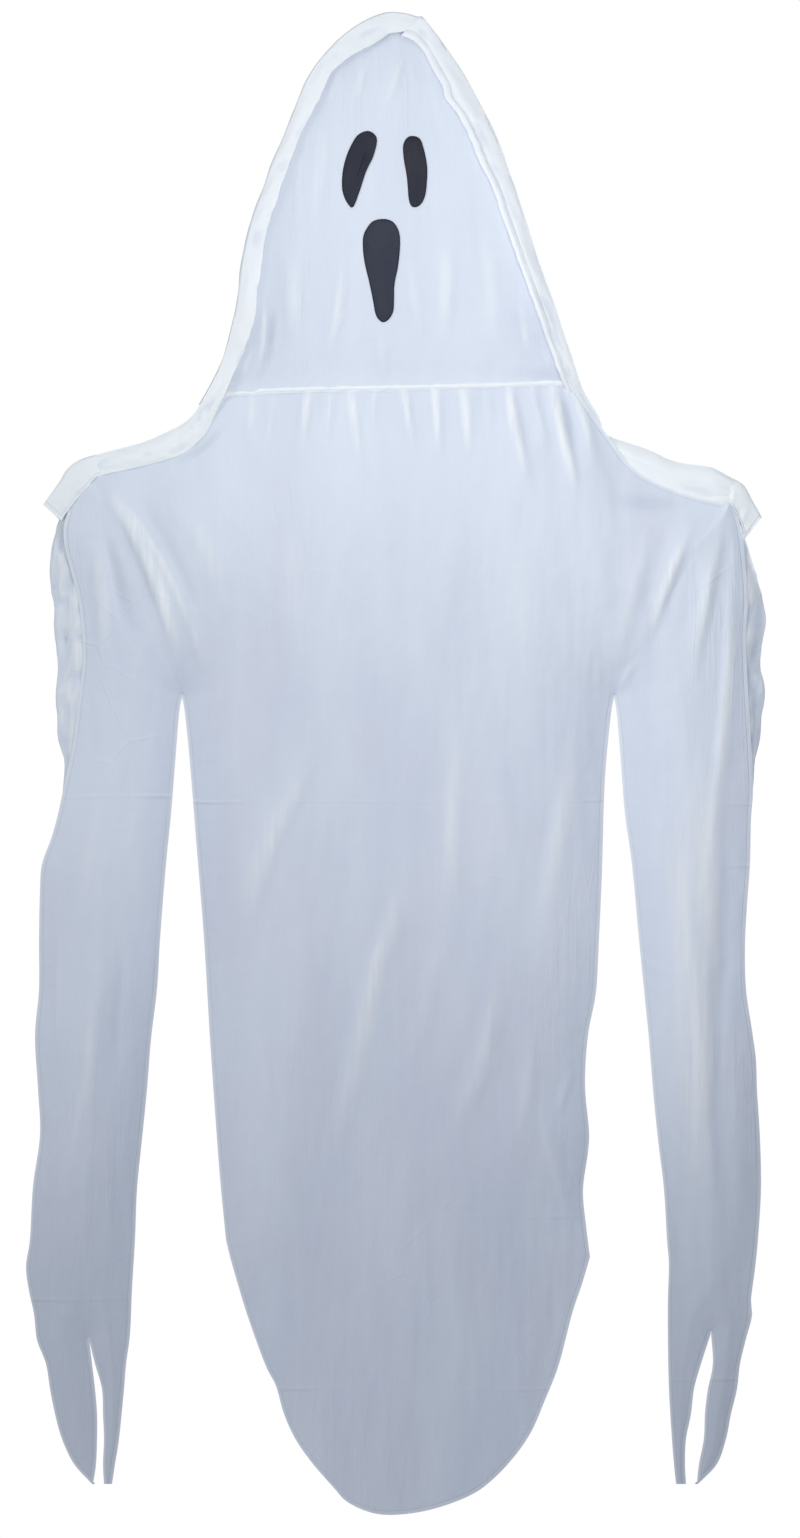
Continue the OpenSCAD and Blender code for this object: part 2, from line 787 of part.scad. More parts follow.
module left_sleeve_front() {
    hung() mirror([1, 0, 0]) sleeve_panel(-1, 20, 4);
}

module right_sleeve_front() {
    hung() sleeve_panel(-1, 20, 4);
}

module left_sleeve_back() {
    hung() mirror([1, 0, 0]) sleeve_panel(1, 18, 3);
}

module right_sleeve_back() {
    hung() sleeve_panel(1, 18, 3);
}

// Tape loops that hang the sleeves on the bar and let them swing
module sleeve_loop(side) {
    bore = bar_d + turn_gap;
    high = seam_z(loop_x + tape_w / 2) - sew_gap - bar_z;
    color(border_white)
    hung()
    translate([side * loop_x, 0, bar_z]) {
        rotate([0, 90, 0])
        difference() {
            cylinder(d = bore + 2 * tape_t, h = tape_w, center = true);
            cylinder(d = bore, h = tape_w + 2, center = true);
        }
        translate([-tape_w / 2, -tape_t / 2, bore / 2 + tape_t / 2])
        cube([tape_w, tape_t, high - bore / 2 - tape_t / 2]);
    }
}

module left_sleeve_loop() {
    sleeve_loop(-1);
}

module right_sleeve_loop() {
    sleeve_loop(1);
}

// Flap that lies over the end of the shoulder, from the bar end outwards and down
module flap_shape() {
    from = armhole_half + armhole_gap + 2;
    stops = 8;
    bend = tip_half + 4;
    flat_len = bend - from;
    // place along the flap: x, z and the way its edges hang
    function path(s) =
        let (
            along = s * (flat_len + flap_len),
            past = max(0, along - flat_len),
            turn = 52 * ease(past / 40),
            x = min(from + along, bend) + past * 0.5,
            z = seam_z(min(from + along, bend)) - past * 0.84
        )
        [x, z, turn];
    function grid(off) = [for (d = cape_drops()) [for (k = [0 : stops])
        let (
            at = path(k / stops),
            p = shoulder_skin(d[1], d[0], off)
        )
        [at[0] + p[1] * sin(at[2]), p[0], at[1] + p[1] * cos(at[2])]]];
    color(border_white)
    sheet(grid(1.5 * cloth_t + sew_gap), grid(0.5 * cloth_t + sew_gap));
}

module left_shoulder_flap() {
    hung() mirror([1, 0, 0]) flap_shape();
}

module right_shoulder_flap() {
    hung() flap_shape();
}

crown_connector();
left_hoop_rod();
right_hoop_rod();
left_neck_elbow();
right_neck_elbow();
neck_rod();
hood();
hood_ties();
face_panel();
left_eye();
right_eye();
mouth();
neck_casing();
neck_clip();
spine_rod();
shoulder_hub();
left_shoulder_bar();
right_shoulder_bar();
left_bar_cap();
right_bar_cap();
left_cape();
right_cape();
robe_front();
robe_back();
left_sleeve_front();
left_sleeve_back();
left_sleeve_loop();
left_shoulder_flap();
right_sleeve_front();
right_sleeve_back();
right_sleeve_loop();
right_shoulder_flap();
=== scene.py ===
import math
import bpy
import numpy as np
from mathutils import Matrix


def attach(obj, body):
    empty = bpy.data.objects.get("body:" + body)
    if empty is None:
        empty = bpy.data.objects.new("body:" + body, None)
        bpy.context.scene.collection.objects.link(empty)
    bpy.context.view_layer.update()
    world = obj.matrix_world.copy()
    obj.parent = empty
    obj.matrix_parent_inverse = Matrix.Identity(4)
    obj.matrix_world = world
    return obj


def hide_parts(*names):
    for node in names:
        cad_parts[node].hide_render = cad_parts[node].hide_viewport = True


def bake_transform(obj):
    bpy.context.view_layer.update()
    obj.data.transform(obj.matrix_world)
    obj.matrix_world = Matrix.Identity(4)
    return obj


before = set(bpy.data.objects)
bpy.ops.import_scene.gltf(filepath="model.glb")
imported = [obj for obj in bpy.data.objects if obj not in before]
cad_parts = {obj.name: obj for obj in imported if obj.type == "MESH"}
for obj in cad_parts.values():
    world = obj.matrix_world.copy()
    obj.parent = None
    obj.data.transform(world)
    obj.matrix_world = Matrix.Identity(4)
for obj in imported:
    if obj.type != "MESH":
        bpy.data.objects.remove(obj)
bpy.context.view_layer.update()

bpy.ops.object.select_all(action='DESELECT')
scene = bpy.context.scene
print('frame loaded:', len(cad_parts), 'nodes')

# places are taken from the photograph in its pixels, then turned into metres
sighting = {
    'metresPerPixel': 0.00142,
    'middle': 400.0,   # pixel column of the figure's middle
    'eyeLine': 33.0,   # pixel row of the hang eye
    'lean': 0.014,     # the figure hangs this far right of the eye
    'plane': -0.036    # y of the figure's middle plane, its front is -y
}
mmPerPixel = sighting['metresPerPixel'] * 1000
view = {'distance': 7.0, 'frameHeight': 1538, 'sensor': 36.0}


def toRow(px, py, depth):
    # depth in mm in front of the middle plane; what stands nearer the camera is drawn in to keep its pixel
    nearer = 1 - np.maximum(depth, 0) / 1000 / view['distance']
    x = (px - sighting['middle']) * nearer * sighting['metresPerPixel'] + sighting['lean']
    y = sighting['plane'] - depth / 1000
    z = zOf(view['frameHeight'] / 2 + (py - view['frameHeight'] / 2) * nearer)
    return np.stack(np.broadcast_arrays(x, y, z), axis=-1)


def zOf(py):
    return (sighting['eyeLine'] - py) * sighting['metresPerPixel']


# camera and light

def addCamera():
    tall = view['frameHeight'] * sighting['metresPerPixel']
    bpy.ops.object.camera_add(
        location=(sighting['lean'], sighting['plane'] - view['distance'], zOf(view['frameHeight'] / 2)),
        rotation=(math.radians(90), 0, 0))
    camera = bpy.context.object
    camera.name = 'viewCamera'
    camera.data.sensor_width = view['sensor']
    camera.data.lens = view['sensor'] * view['distance'] / tall
    scene.camera = camera


addCamera()

studio = {
    'side': {'at': (-7.2, -5.7, 0.6), 'aim': (0.0, -0.04, -0.9), 'size': (2.4, 3.0),
             'watts': 156, 'tint': (1.0, 0.99, 0.98)},
    'front': {'at': (0.14, -1.19, -0.32), 'aim': (0.02, -0.04, -0.52), 'size': (0.9, 0.6),
              'watts': 7.3, 'tint': (1.0, 0.99, 0.98)},
    'fill': {'at': (0.60, -0.72, -1.16), 'aim': (0.38, -0.04, -1.12), 'size': (0.5, 0.5),
             'watts': 0.42, 'tint': (1.0, 1.0, 1.0)},
    'rear': {'at': (3.4, 3.0, 0.6), 'aim': (0.0, 0.0, -0.9), 'size': (1.6, 2.0),
             'watts': 115, 'tint': (0.97, 0.98, 1.0)},
    'top': {'at': (-0.5, -0.8, 1.5), 'aim': (0.0, -0.04, -0.6), 'size': (1.2, 1.2),
            'watts': 5.5, 'tint': (0.96, 0.98, 1.0)},
    'sky': (0.82, 0.89, 1.0),
    'skyStrength': 0.337,
    'floor': -3.0
}


def addSoftbox(name, box):
    bpy.ops.object.light_add(type='AREA', location=box['at'])
    lamp = bpy.context.object
    lamp.name = name
    lamp.data.shape = 'RECTANGLE'
    lamp.data.size, lamp.data.size_y = box['size']
    lamp.data.energy = box['watts']
    lamp.data.color = box['tint']
    way = np.array(box['aim']) - np.array(box['at'])
    flat = math.hypot(way[0], way[1])
    lamp.rotation_euler = (math.atan2(flat, -way[2]), 0, math.atan2(-way[0], way[1]))
    lamp.visible_camera = False


for boxName in ('side', 'front', 'fill', 'rear', 'top'):
    addSoftbox(boxName + 'Softbox', studio[boxName])


class Flow:
    # wraps a shader socket, so that maths on values reads as maths
    def __init__(self, tree, socket=None):
        self.tree = tree
        self.socket = socket

    def add(self, kind, settings=None, sockets=None, out=0):
        node = self.tree.nodes.new(kind)
        for key, value in (settings or {}).items():
            setattr(node, key, value)
        for key, value in (sockets or {}).items():
            if isinstance(value, Flow):
                self.tree.links.new(value.socket, node.inputs[key])
            else:
                node.inputs[key].default_value = value
        return Flow(self.tree, node.outputs[out] if len(node.outputs) else None)

    def join(self, operation, first, second):
        return self.add('ShaderNodeMath', {'operation': operation}, {0: first, 1: second})

    def __add__(self, other):
        return self.join('ADD', self, other)

    def __radd__(self, other):
        return self.join('ADD', other, self)

    def __sub__(self, other):
        return self.join('SUBTRACT', self, other)

    def __rsub__(self, other):
        return self.join('SUBTRACT', other, self)

    def __mul__(self, other):
        return self.join('MULTIPLY', self, other)

    def __rmul__(self, other):
        return self.join('MULTIPLY', other, self)

    def __abs__(self):
        return self.add('ShaderNodeMath', {'operation': 'ABSOLUTE'}, {0: self})

    def band(self, low, high, fromValue=0.0, toValue=1.0):
        # smooth step of this value between two limits
        return self.add('ShaderNodeMapRange', {'interpolation_type': 'SMOOTHSTEP'},
                        {'Value': self, 'From Min': low, 'From Max': high,
                         'To Min': fromValue, 'To Max': toValue})

    def tint(self, first, second):
        # colour between two colours, this value is the share of the second
        first = first if isinstance(first, Flow) else (*first, 1)
        second = second if isinstance(second, Flow) else (*second, 1)
        return self.add('ShaderNodeMix', {'data_type': 'RGBA'}, {0: self, 6: first, 7: second}, 2)

    def objectPlace(self):
        return self.add('ShaderNodeTexCoord', None, None, 3)

    def stored(self, name):
        # a value kept on the points of the cloth
        return self.add('ShaderNodeAttribute', {'attribute_name': name}, None, 2)

    def bump(self, strength, distance):
        return self.add('ShaderNodeBump', None,
                        {'Strength': strength, 'Distance': distance, 'Height': self})

    def noise(self, scale, detail=2.0, rough=0.5, stretch=(1, 1, 1)):
        spread = self.add('ShaderNodeMapping', None, {'Vector': self, 'Scale': stretch})
        return self.add('ShaderNodeTexNoise', None,
                        {'Vector': spread, 'Scale': scale, 'Detail': detail, 'Roughness': rough})


def lightWorld():
    world = bpy.data.worlds.new('studioWorld')
    scene.world = world
    world.use_nodes = True
    tree = world.node_tree
    tree.nodes.clear()
    flow = Flow(tree)
    seen = flow.add('ShaderNodeLightPath')
    lit = flow.add('ShaderNodeBackground', None,
                   {'Color': (*studio['sky'], 1), 'Strength': studio['skyStrength']})
    shown = flow.add('ShaderNodeBackground', None, {'Color': (1, 1, 1, 1), 'Strength': 1.0})
    both = flow.add('ShaderNodeMixShader', None, {0: seen, 1: lit, 2: shown})
    flow.add('ShaderNodeOutputWorld', None, {'Surface': both})
    scene.view_settings.view_transform = 'Standard'
    scene.view_settings.look = 'None'


lightWorld()


def newMaterial(name):
    material = bpy.data.materials.new(name)
    material.use_nodes = True
    material.node_tree.nodes.clear()
    return material, Flow(material.node_tree)


def closeMaterial(flow, sockets):
    surface = flow.add('ShaderNodeBsdfPrincipled', None, sockets)
    flow.add('ShaderNodeOutputMaterial', None, {'Surface': surface})


# materials

clothRelief = 0.0016    # m, the bump of any woven cloth

sheer = {
    'shade': (0.70, 0.757, 0.875),    # single layer in the hollows of the weave
    'light': (0.80, 0.855, 0.955),
    'warm': (0.722, 0.757, 0.88),     # faint patches of another tint
    'upper': (0.972, 0.985, 0.972),   # the upper half leans less to violet
    'upperRows': (900, 560),          # pixel rows over which that comes in
    'end': (0.50, 0.545, 0.625),      # painted shade: sleeve ends darker towards the bottom
    'lowShadeRows': (1400, 950),
    'hem': (0.90, 0.935, 0.98),       # doubled edge, lighter, partly painted glow of light through the edge
    'hemWidth': 6.0,                  # mm
    'stitchIn': 5.0,                  # mm from the edge to the row of stitches
    'bunched': (0.93, 0.955, 0.99),   # crests of folds painted lighter: partly where layers lie close, partly painted highlight
    'hollow': (0.52, 0.575, 0.68),    # painted shade in the valleys between them
    'creaseHalf': 0.0045,             # m, packing creases
    'rough': (0.45, 0.61),
    'sheen': 0.25,
    'sheenTint': (0.92, 0.96, 1.0)
}


def sheerCloth(name, creases, brightness=1.0, paintedLowShade=0.0):
    # thin woven polyester; creases are the z of the fold lines from its packing
    material, flow = newMaterial(name)
    place = flow.objectPlace()
    hem = flow.stored('hem')
    cloud = place.noise(5.0, 3.0, 0.55, (1.6, 1.0, 0.5))
    slub = place.noise(320.0, 2.0, 0.6, (1.0, 0.2, 0.03))
    pick = place.noise(320.0, 2.0, 0.6, (0.03, 0.2, 1.0))
    patch = place.noise(7.0, 2.0, 0.5, (1.0, 1.0, 0.6)).band(0.42, 0.6)
    bunch = flow.stored('bunch')
    edge = hem.band(0.0, sheer['hemWidth'], 1.0, 0.0)
    strand = place.noise(95.0, 2.0, 0.6, (1.0, 0.6, 0.07))
    tone = cloud.band(0.22, 0.78) * 0.85 + slub * 0.25 - 0.06
    shade, warm, light = [tuple(c * brightness for c in sheer[key]) for key in ('shade', 'warm', 'light')]
    plain = tone.tint((patch * 0.8).tint(shade, warm), light)
    # painted shade: valleys of the folds are darkened
    sunk = bunch.band(-4.0, -0.4, 0.5, 0.0).tint(plain, sheer['hollow'])
    # painted highlight on fold crests, with the whiter look of bunched layers
    crest = bunch.band(0.2, 4.6, 0.0, 0.8) * strand.band(0.28, 0.68, 0.3, 1.2)
    folded = crest.tint(sunk, sheer['bunched'])
    level = flow.add('ShaderNodeSeparateXYZ', None, {0: place}, 2)
    upper = level.band(*map(zOf, sheer['upperRows']))
    toned = flow.add('ShaderNodeMix', {'data_type': 'RGBA', 'blend_type': 'MULTIPLY'},
                     {0: upper, 6: folded, 7: (*sheer['upper'], 1)}, 2)
    # painted shade: the sleeves darken towards their lower ends
    shadedBelow = level.band(*map(zOf, sheer['lowShadeRows']), paintedLowShade, 0.0).tint(toned, sheer['end'])
    # edges lighter: the doubled hem, and painted glow of light coming through the edge
    colour = (edge * 0.6).tint(shadedBelow, sheer['hem'])
    crinkle = place.noise(34.0, 4.0, 0.6, (1.0, 1.0, 0.45))
    cells = flow.add('ShaderNodeTexVoronoi', {'feature': 'DISTANCE_TO_EDGE'},
                     {'Vector': place, 'Scale': 9.0})
    sparse = place.noise(4.0, 2.0, 0.5).band(0.55, 0.68)
    nick = cells.band(0.0, 0.03, 1.0, 0.0) * sparse
    streak = abs(place.noise(46.0, 2.0, 0.5, (1.0, 1.0, 0.09)) - 0.5).band(0.0, 0.05, 1.0, 0.0)
    pulled = place.noise(3.5, 2.0, 0.5, (1.0, 1.0, 0.6)).band(0.46, 0.64)
    stitch = abs(hem - sheer['stitchIn']).band(0.0, 1.2, 1.0, 0.0)
    height = crinkle * 1.1 + slub * 0.16 + pick * 0.12 + nick * 0.35
    height = height + streak * pulled * 0.3 - stitch * 0.5
    if creases:
        wave = place.noise(6.0, 2.0) * 0.012 - 0.006
        gaps = place.noise(7.0, 1.0, 0.5, (1.0, 1.0, 0.2)).band(0.38, 0.56, 0.25, 1.0)
        nearEdge = hem.band(15.0, 75.0, 0.8, 0.2)
        for z in creases:
            line = abs(level + wave - z).band(0.0, sheer['creaseHalf'], 1.0, 0.0)
            height = height + line * gaps * nearEdge
    closeMaterial(flow, {
        'Base Color': colour, 'Roughness': cloud.band(0.3, 0.7, *sheer['rough']),
        'Normal': height.bump(0.55, clothRelief), 'Sheen Weight': sheer['sheen'], 'Sheen Roughness': 0.4,
        'Sheen Tint': (*sheer['sheenTint'], 1), 'Specular IOR Level': 0.35})
    return material


doubled = {
    'shade': (0.88, 0.925, 0.965),
    'light': (0.95, 0.975, 0.99),
    'hollow': (0.70, 0.765, 0.87),    # painted shade between its wrinkles
    'stitch': (0.72, 0.78, 0.86),
    'stitchIn': 11.0,                 # mm from the folded edge to the row of stitches
    'brightest': 0.99,
    'rough': (0.42, 0.58),
    'sheen': 0.25
}


def doubleCloth(name, gain=(1.0, 1.0, 1.0)):
    material, flow = newMaterial(name)
    place = flow.objectPlace()
    hem = flow.stored('hem')
    cloud = place.noise(7.0, 3.0, 0.55)
    slub = place.noise(320.0, 2.0, 0.6, (0.2, 0.2, 0.03))
    crinkle = place.noise(42.0, 5.0, 0.62)
    pucker = place.noise(120.0, 2.0, 0.5)
    line = abs(hem - doubled['stitchIn']).band(0.0, 1.6, 1.0, 0.0)
    tone = cloud * 0.75 + slub * 0.25 + crinkle * 0.15 - 0.05
    shade, light = [tuple(min(doubled['brightest'], c * g) for c, g in zip(doubled[key], gain))
                    for key in ('shade', 'light')]
    bunch = flow.stored('bunch')
    # painted shade: wrinkle valleys are darkened
    wrinkleShaded = bunch.band(-1.5, -0.1, 0.5, 0.0).tint(tone.tint(shade, light), doubled['hollow'])
    colour = (line * 0.25).tint(wrinkleShaded, doubled['stitch'])
    height = crinkle * 0.7 + slub * 0.14 - line * (0.5 + pucker * 0.4)
    closeMaterial(flow, {
        'Base Color': colour, 'Roughness': cloud.band(0.3, 0.7, *doubled['rough']),
        'Normal': height.bump(0.5, clothRelief), 'Sheen Weight': doubled['sheen'], 'Sheen Roughness': 0.4,
        'Specular IOR Level': 0.35})
    return material


patchCloth = {
    'deep': (0.013, 0.016, 0.028),
    'worn': (0.032, 0.039, 0.068),
    'rim': (0.006, 0.007, 0.010),
    'rimWidth': 2.6,                  # mm
    'rough': (0.5, 0.66),
    'sheen': 0.05
}


def blackCloth(name, brightness=1.0):
    material, flow = newMaterial(name)
    place = flow.objectPlace()
    hem = flow.stored('hem')
    cloud = place.noise(22.0, 4.0, 0.6, (1.0, 1.0, 0.6))
    thread = place.noise(420.0, 2.0, 0.6, (1.0, 0.2, 0.05))
    wrinkle = place.noise(55.0, 4.0, 0.6, (1.2, 1.0, 0.5))
    rim = hem.band(0.0, patchCloth['rimWidth'], 1.0, 0.0)
    deep, worn = [tuple(c * brightness for c in patchCloth[key]) for key in ('deep', 'worn')]
    colour = rim.tint((cloud * 1.1 + thread * 0.3 - 0.25).tint(deep, worn), patchCloth['rim'])
    height = wrinkle + thread * 0.15
    closeMaterial(flow, {
        'Base Color': colour, 'Roughness': cloud.band(0.3, 0.7, *patchCloth['rough']),
        'Normal': height.bump(0.6, clothRelief), 'Sheen Weight': patchCloth['sheen'],
        'Sheen Roughness': 0.45, 'Specular IOR Level': 0.27})
    return material


def fibreRod(name):
    material, flow = newMaterial(name)
    place = flow.objectPlace()
    strand = place.noise(160.0, 3.0, 0.6, (1.0, 1.0, 0.2))
    scuff = place.noise(26.0, 4.0, 0.6)
    colour = (strand * 0.7 + scuff * 0.3).tint((0.66, 0.68, 0.68), (0.84, 0.85, 0.85))
    closeMaterial(flow, {'Base Color': colour, 'Roughness': scuff.band(0.3, 0.7, 0.24, 0.42),
                         'Normal': strand.bump(0.25, 0.0004)})
    return material


def mouldedWhite(name):
    material, flow = newMaterial(name)
    place = flow.objectPlace()
    grain = place.noise(900.0, 2.0, 0.6)
    cloud = place.noise(40.0, 3.0, 0.5)
    colour = (cloud * 0.8 + grain * 0.2).tint((0.76, 0.77, 0.77), (0.88, 0.88, 0.87))
    closeMaterial(flow, {'Base Color': colour, 'Roughness': cloud.band(0.3, 0.7, 0.44, 0.6),
                         'Normal': grain.bump(0.3, 0.0002)})
    return material


def cottonTape(name):
    material, flow = newMaterial(name)
    place = flow.objectPlace()
    weave = flow.add('ShaderNodeTexWave', {'bands_direction': 'DIAGONAL'},
                     {'Vector': place, 'Scale': 260.0, 'Distortion': 0.6}, 1)
    cloud = place.noise(60.0, 3.0, 0.5)
    colour = (weave * 0.5 + cloud * 0.5).tint((0.70, 0.72, 0.74), (0.87, 0.88, 0.90))
    closeMaterial(flow, {'Base Color': colour, 'Roughness': cloud.band(0.3, 0.7, 0.75, 0.9),
                         'Normal': weave.bump(0.5, 0.0004)})
    return material


robeCloth = sheerCloth('sheerRobe', [zOf(801), zOf(1216), zOf(1388)])
# the sleeves' copies of the cloth are 3% lighter, painted light; their last number sets the painted shade at
# their lower ends
leftSleeveCloth = sheerCloth('sheerLeftSleeve', [zOf(797), zOf(1300)], 1.03, 0.42)
rightSleeveCloth = sheerCloth('sheerRightSleeve', [zOf(806), zOf(866), zOf(1380)], 1.03, 0.5)
faceCloth = sheerCloth('sheerFace', [])
borderCloth = doubleCloth('doubledBorder')
# a brighter, bluer copy of the doubled cloth for the shoulder strips and flaps: painted light on their
# upward-facing cloth
litShoulderCloth = doubleCloth('doubledShoulderLit', (1.015, 1.03, 1.035))
# one black cloth in a darker copy for the eyes and a lighter one for the mouth: painted shade and painted
# light
eyeBlack = blackCloth('blackEyeCloth', 0.8)
mouthBlack = blackCloth('blackMouthCloth', 1.2)
rodFinish = fibreRod('whiteRod')
connectorFinish = mouldedWhite('whiteConnector')
tapeFinish = cottonTape('cottonTape')
print('materials made')


# cloth tools

noHem = 60.0    # mm, far from any hem


def sideName(side):
    # -1 is the left and 1 the right, as seen from the front
    return 'left' if side < 0 else 'right'


def smooth(t):
    t = np.clip(t, 0, 1)
    return t * t * (3 - 2 * t)


def curveThrough(points, count):
    # smooth line through the points, evenly spaced along its length
    p = np.array(points, float)
    p = np.vstack([2 * p[0] - p[1], p, 2 * p[-1] - p[-2]])
    t = np.linspace(0, 1, 12, endpoint=False)[:, None]
    parts = []
    for a, b, c, d in zip(p[:-3], p[1:-2], p[2:-1], p[3:]):
        parts.append(0.5 * (2 * b + (c - a) * t + (2 * a - 5 * b + 4 * c - d) * t ** 2
                            + (3 * b - a - 3 * c + d) * t ** 3))
    line = np.vstack(parts + [p[-2:-1]])
    run = np.concatenate([[0], np.cumsum(np.linalg.norm(np.diff(line, axis=0), axis=1))])
    at = np.linspace(0, run[-1], count)
    return np.stack([np.interp(at, run, line[:, k]) for k in range(p.shape[1])], axis=1)


def straight(first, last, count):
    t = np.linspace(0, 1, count)[:, None]
    return (1 - t) * np.array(first, float) + t * np.array(last, float)


def acrossAt(points, rows):
    # pixel column of an edge at each pixel row
    line = curveThrough(points, 400)
    return np.interp(rows, line[:, 1], line[:, 0])


def softNoise(x, y, seed):
    # smooth random field between about -1 and 1, one bump per unit
    size = 128
    table = np.random.RandomState(seed).uniform(-1, 1, (size, size))
    i, j = np.floor(x).astype(int), np.floor(y).astype(int)
    u, v = smooth(x - i), smooth(y - j)
    i, j, nextI, nextJ = i % size, j % size, (i + 1) % size, (j + 1) % size
    top = table[i, j] * (1 - u) + table[nextI, j] * u
    low = table[i, nextJ] * (1 - u) + table[nextI, nextJ] * u
    return top * (1 - v) + low * v


def nearLine(px, py, line):
    # distance to a line, how far along it the nearest point is, and the side
    best = np.full(px.shape, 1e9)
    along = np.zeros(px.shape)
    side = np.zeros(px.shape)
    last = len(line) - 1
    for k in range(last):
        a, b = line[k], line[k + 1]
        d = b - a
        t = np.clip(((px - a[0]) * d[0] + (py - a[1]) * d[1]) / max(d @ d, 1e-9), 0, 1)
        gx, gy = px - a[0] - t * d[0], py - a[1] - t * d[1]
        far = np.hypot(gx, gy)
        closer = far < best
        best = np.where(closer, far, best)
        along = np.where(closer, (k + t) / last, along)
        side = np.where(closer, np.sign(gx * d[1] - gy * d[0]), side)
    return best, along, side


def edgeDistance(px, py, edges):
    # mm to the nearest edge of the cloth
    best = np.full(px.shape, 1e9)
    for edge in edges:
        best = np.minimum(best, nearLine(px, py, edge)[0])
    return best * mmPerPixel


foldShape = {
    'trough': 0.35,      # hollows beside the crest, as a share of it
    'troughWide': 2.1,
    'rise': 0.4,         # share of its length over which a fold comes in
    'fade': 0.5,
    'room': 4            # widths from its line where a fold ends
}


def foldHeight(px, py, folds):
    # a fold is its line, half width in pixels, height in mm, and which flank is steep
    total = np.zeros(px.shape)
    for points, width, height, lean in folds:
        line = curveThrough(points, 12)
        room = foldShape['room'] * width
        low, high = line.min(0) - room, line.max(0) + room
        inside = (px > low[0]) & (px < high[0]) & (py > low[1]) & (py < high[1])
        if not inside.any():
            continue
        far, along, side = nearLine(px[inside], py[inside], line)
        spread = width * (1 + lean * np.tanh(side * far / width))
        hollow = foldShape['trough'] * np.exp(-(far / (foldShape['troughWide'] * spread)) ** 2)
        crest = height / (1 - foldShape['trough']) * (np.exp(-(far / spread) ** 2) - hollow)
        total[inside] += crest * smooth(along / foldShape['rise']) * smooth((1 - along) / foldShape['fade'])
    return total


def fillPatch(top, low, left, right):
    # grid of points between four edges
    u = np.linspace(0, 1, len(top))[None, :, None]
    t = np.linspace(0, 1, len(left))[:, None, None]
    corners = ((1 - t) * ((1 - u) * top[0] + u * top[-1]) + t * ((1 - u) * low[0] + u * low[-1]))
    return ((1 - t) * top[None] + t * low[None] + (1 - u) * left[:, None] + u * right[:, None] - corners)


def shadeSmooth(angle=55):
    bpy.ops.object.shade_smooth_by_angle(angle=math.radians(angle))


def thicken(piece, thick, offset=-1, angle=55):
    wall = piece.modifiers.new('thickness', 'SOLIDIFY')
    wall.thickness = thick / 1000
    wall.offset = offset
    bpy.ops.object.modifier_apply(modifier=wall.name)
    shadeSmooth(angle)


weldGap = {'points': 0.00012, 'slivers': 0.00005}    # m


def layCloth(name, places, hem, thick, facing='front', openStrip=None, weld=False, bunch=None):
    # a grid primitive whose points are laid in their places, then given the cloth's thickness
    rows, cols = places.shape[:2]
    notes = {'hem': hem} if bunch is None else {'hem': hem, 'bunch': bunch}
    notes = {key: np.broadcast_to(value, (rows, cols)) for key, value in notes.items()}
    if facing == 'front':
        places = places[::-1]
        notes = {key: value[::-1] for key, value in notes.items()}
    bpy.ops.object.select_all(action='DESELECT')
    bpy.ops.mesh.primitive_grid_add(x_subdivisions=cols - 1, y_subdivisions=rows - 1, size=1)
    piece = bpy.context.object
    piece.name = name
    piece.data.name = name
    piece.data.vertices.foreach_set('co', places.reshape(-1).astype(np.float32))
    for key, value in notes.items():
        field = piece.data.attributes.new(key, 'FLOAT', 'POINT')
        field.data.foreach_set('value', value.reshape(-1).astype(np.float32))
    piece.data.update()
    if openStrip is not None:
        bpy.ops.object.mode_set(mode='EDIT')
        bpy.ops.mesh.select_all(action='DESELECT')
        bpy.ops.object.mode_set(mode='OBJECT')
        for index, face in enumerate(piece.data.polygons):
            face.select = index % (cols - 1) == openStrip
        bpy.ops.object.mode_set(mode='EDIT')
        bpy.ops.mesh.select_mode(type='FACE')
        bpy.ops.mesh.delete(type='FACE')
        bpy.ops.object.mode_set(mode='OBJECT')
    if weld or openStrip is not None:
        bpy.ops.object.mode_set(mode='EDIT')
        bpy.ops.mesh.select_mode(type='VERT')
        bpy.ops.mesh.select_all(action='SELECT')
        bpy.ops.mesh.remove_doubles(threshold=weldGap['points'])
        bpy.ops.mesh.dissolve_degenerate(threshold=weldGap['slivers'])
        bpy.ops.object.mode_set(mode='OBJECT')
    if thick:
        thicken(piece, thick)
    else:
        shadeSmooth()
    return piece


def finishPiece(piece, material, slotName, *nodes):
    piece.data.materials.clear()
    piece.data.materials.append(material)
    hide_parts(*nodes)
    piece.select_set(False)


# outlines shared by the robe and the sleeves, in pixels

outline = {
    'top': [(92, 474), (110, 470), (140, 464), (165, 457), (186, 447), (200, 436), (209, 423), (217, 407),
            (226, 395), (246, 393), (300, 390), (400, 388), (500, 385), (558, 383), (574, 387), (586, 404),
            (598, 422), (611, 440), (626, 461), (643, 476), (668, 488), (698, 498), (722, 503)],
    'leftSide': [(182, 697), (185, 714), (190, 764), (196, 839), (204, 939), (210, 1039), (217, 1139),
                 (221, 1189), (226, 1240)],
    'rightSide': [(614, 697), (611, 714), (606, 764), (604, 800), (602, 870), (599, 939), (596, 992),
                  (588, 1035), (585, 1085), (589, 1130), (588, 1152), (583, 1190), (586, 1225), (590, 1257)],
    'tail': [(226, 1240), (232, 1264), (247, 1314), (265, 1364), (276, 1386), (284, 1414), (296, 1440),
             (313, 1464), (334, 1488), (346, 1501), (366, 1511), (388, 1515), (420, 1512), (452, 1503),
             (481, 1489), (508, 1464), (530, 1434), (545, 1400), (559, 1364), (572, 1314), (582, 1284),
             (590, 1257)]
}
armholeRows, sideRows = 60, 130
leftArmhole = straight(outline['top'][0], outline['leftSide'][0], armholeRows + 1)
rightArmhole = straight(outline['top'][-1], outline['rightSide'][0], armholeRows + 1)

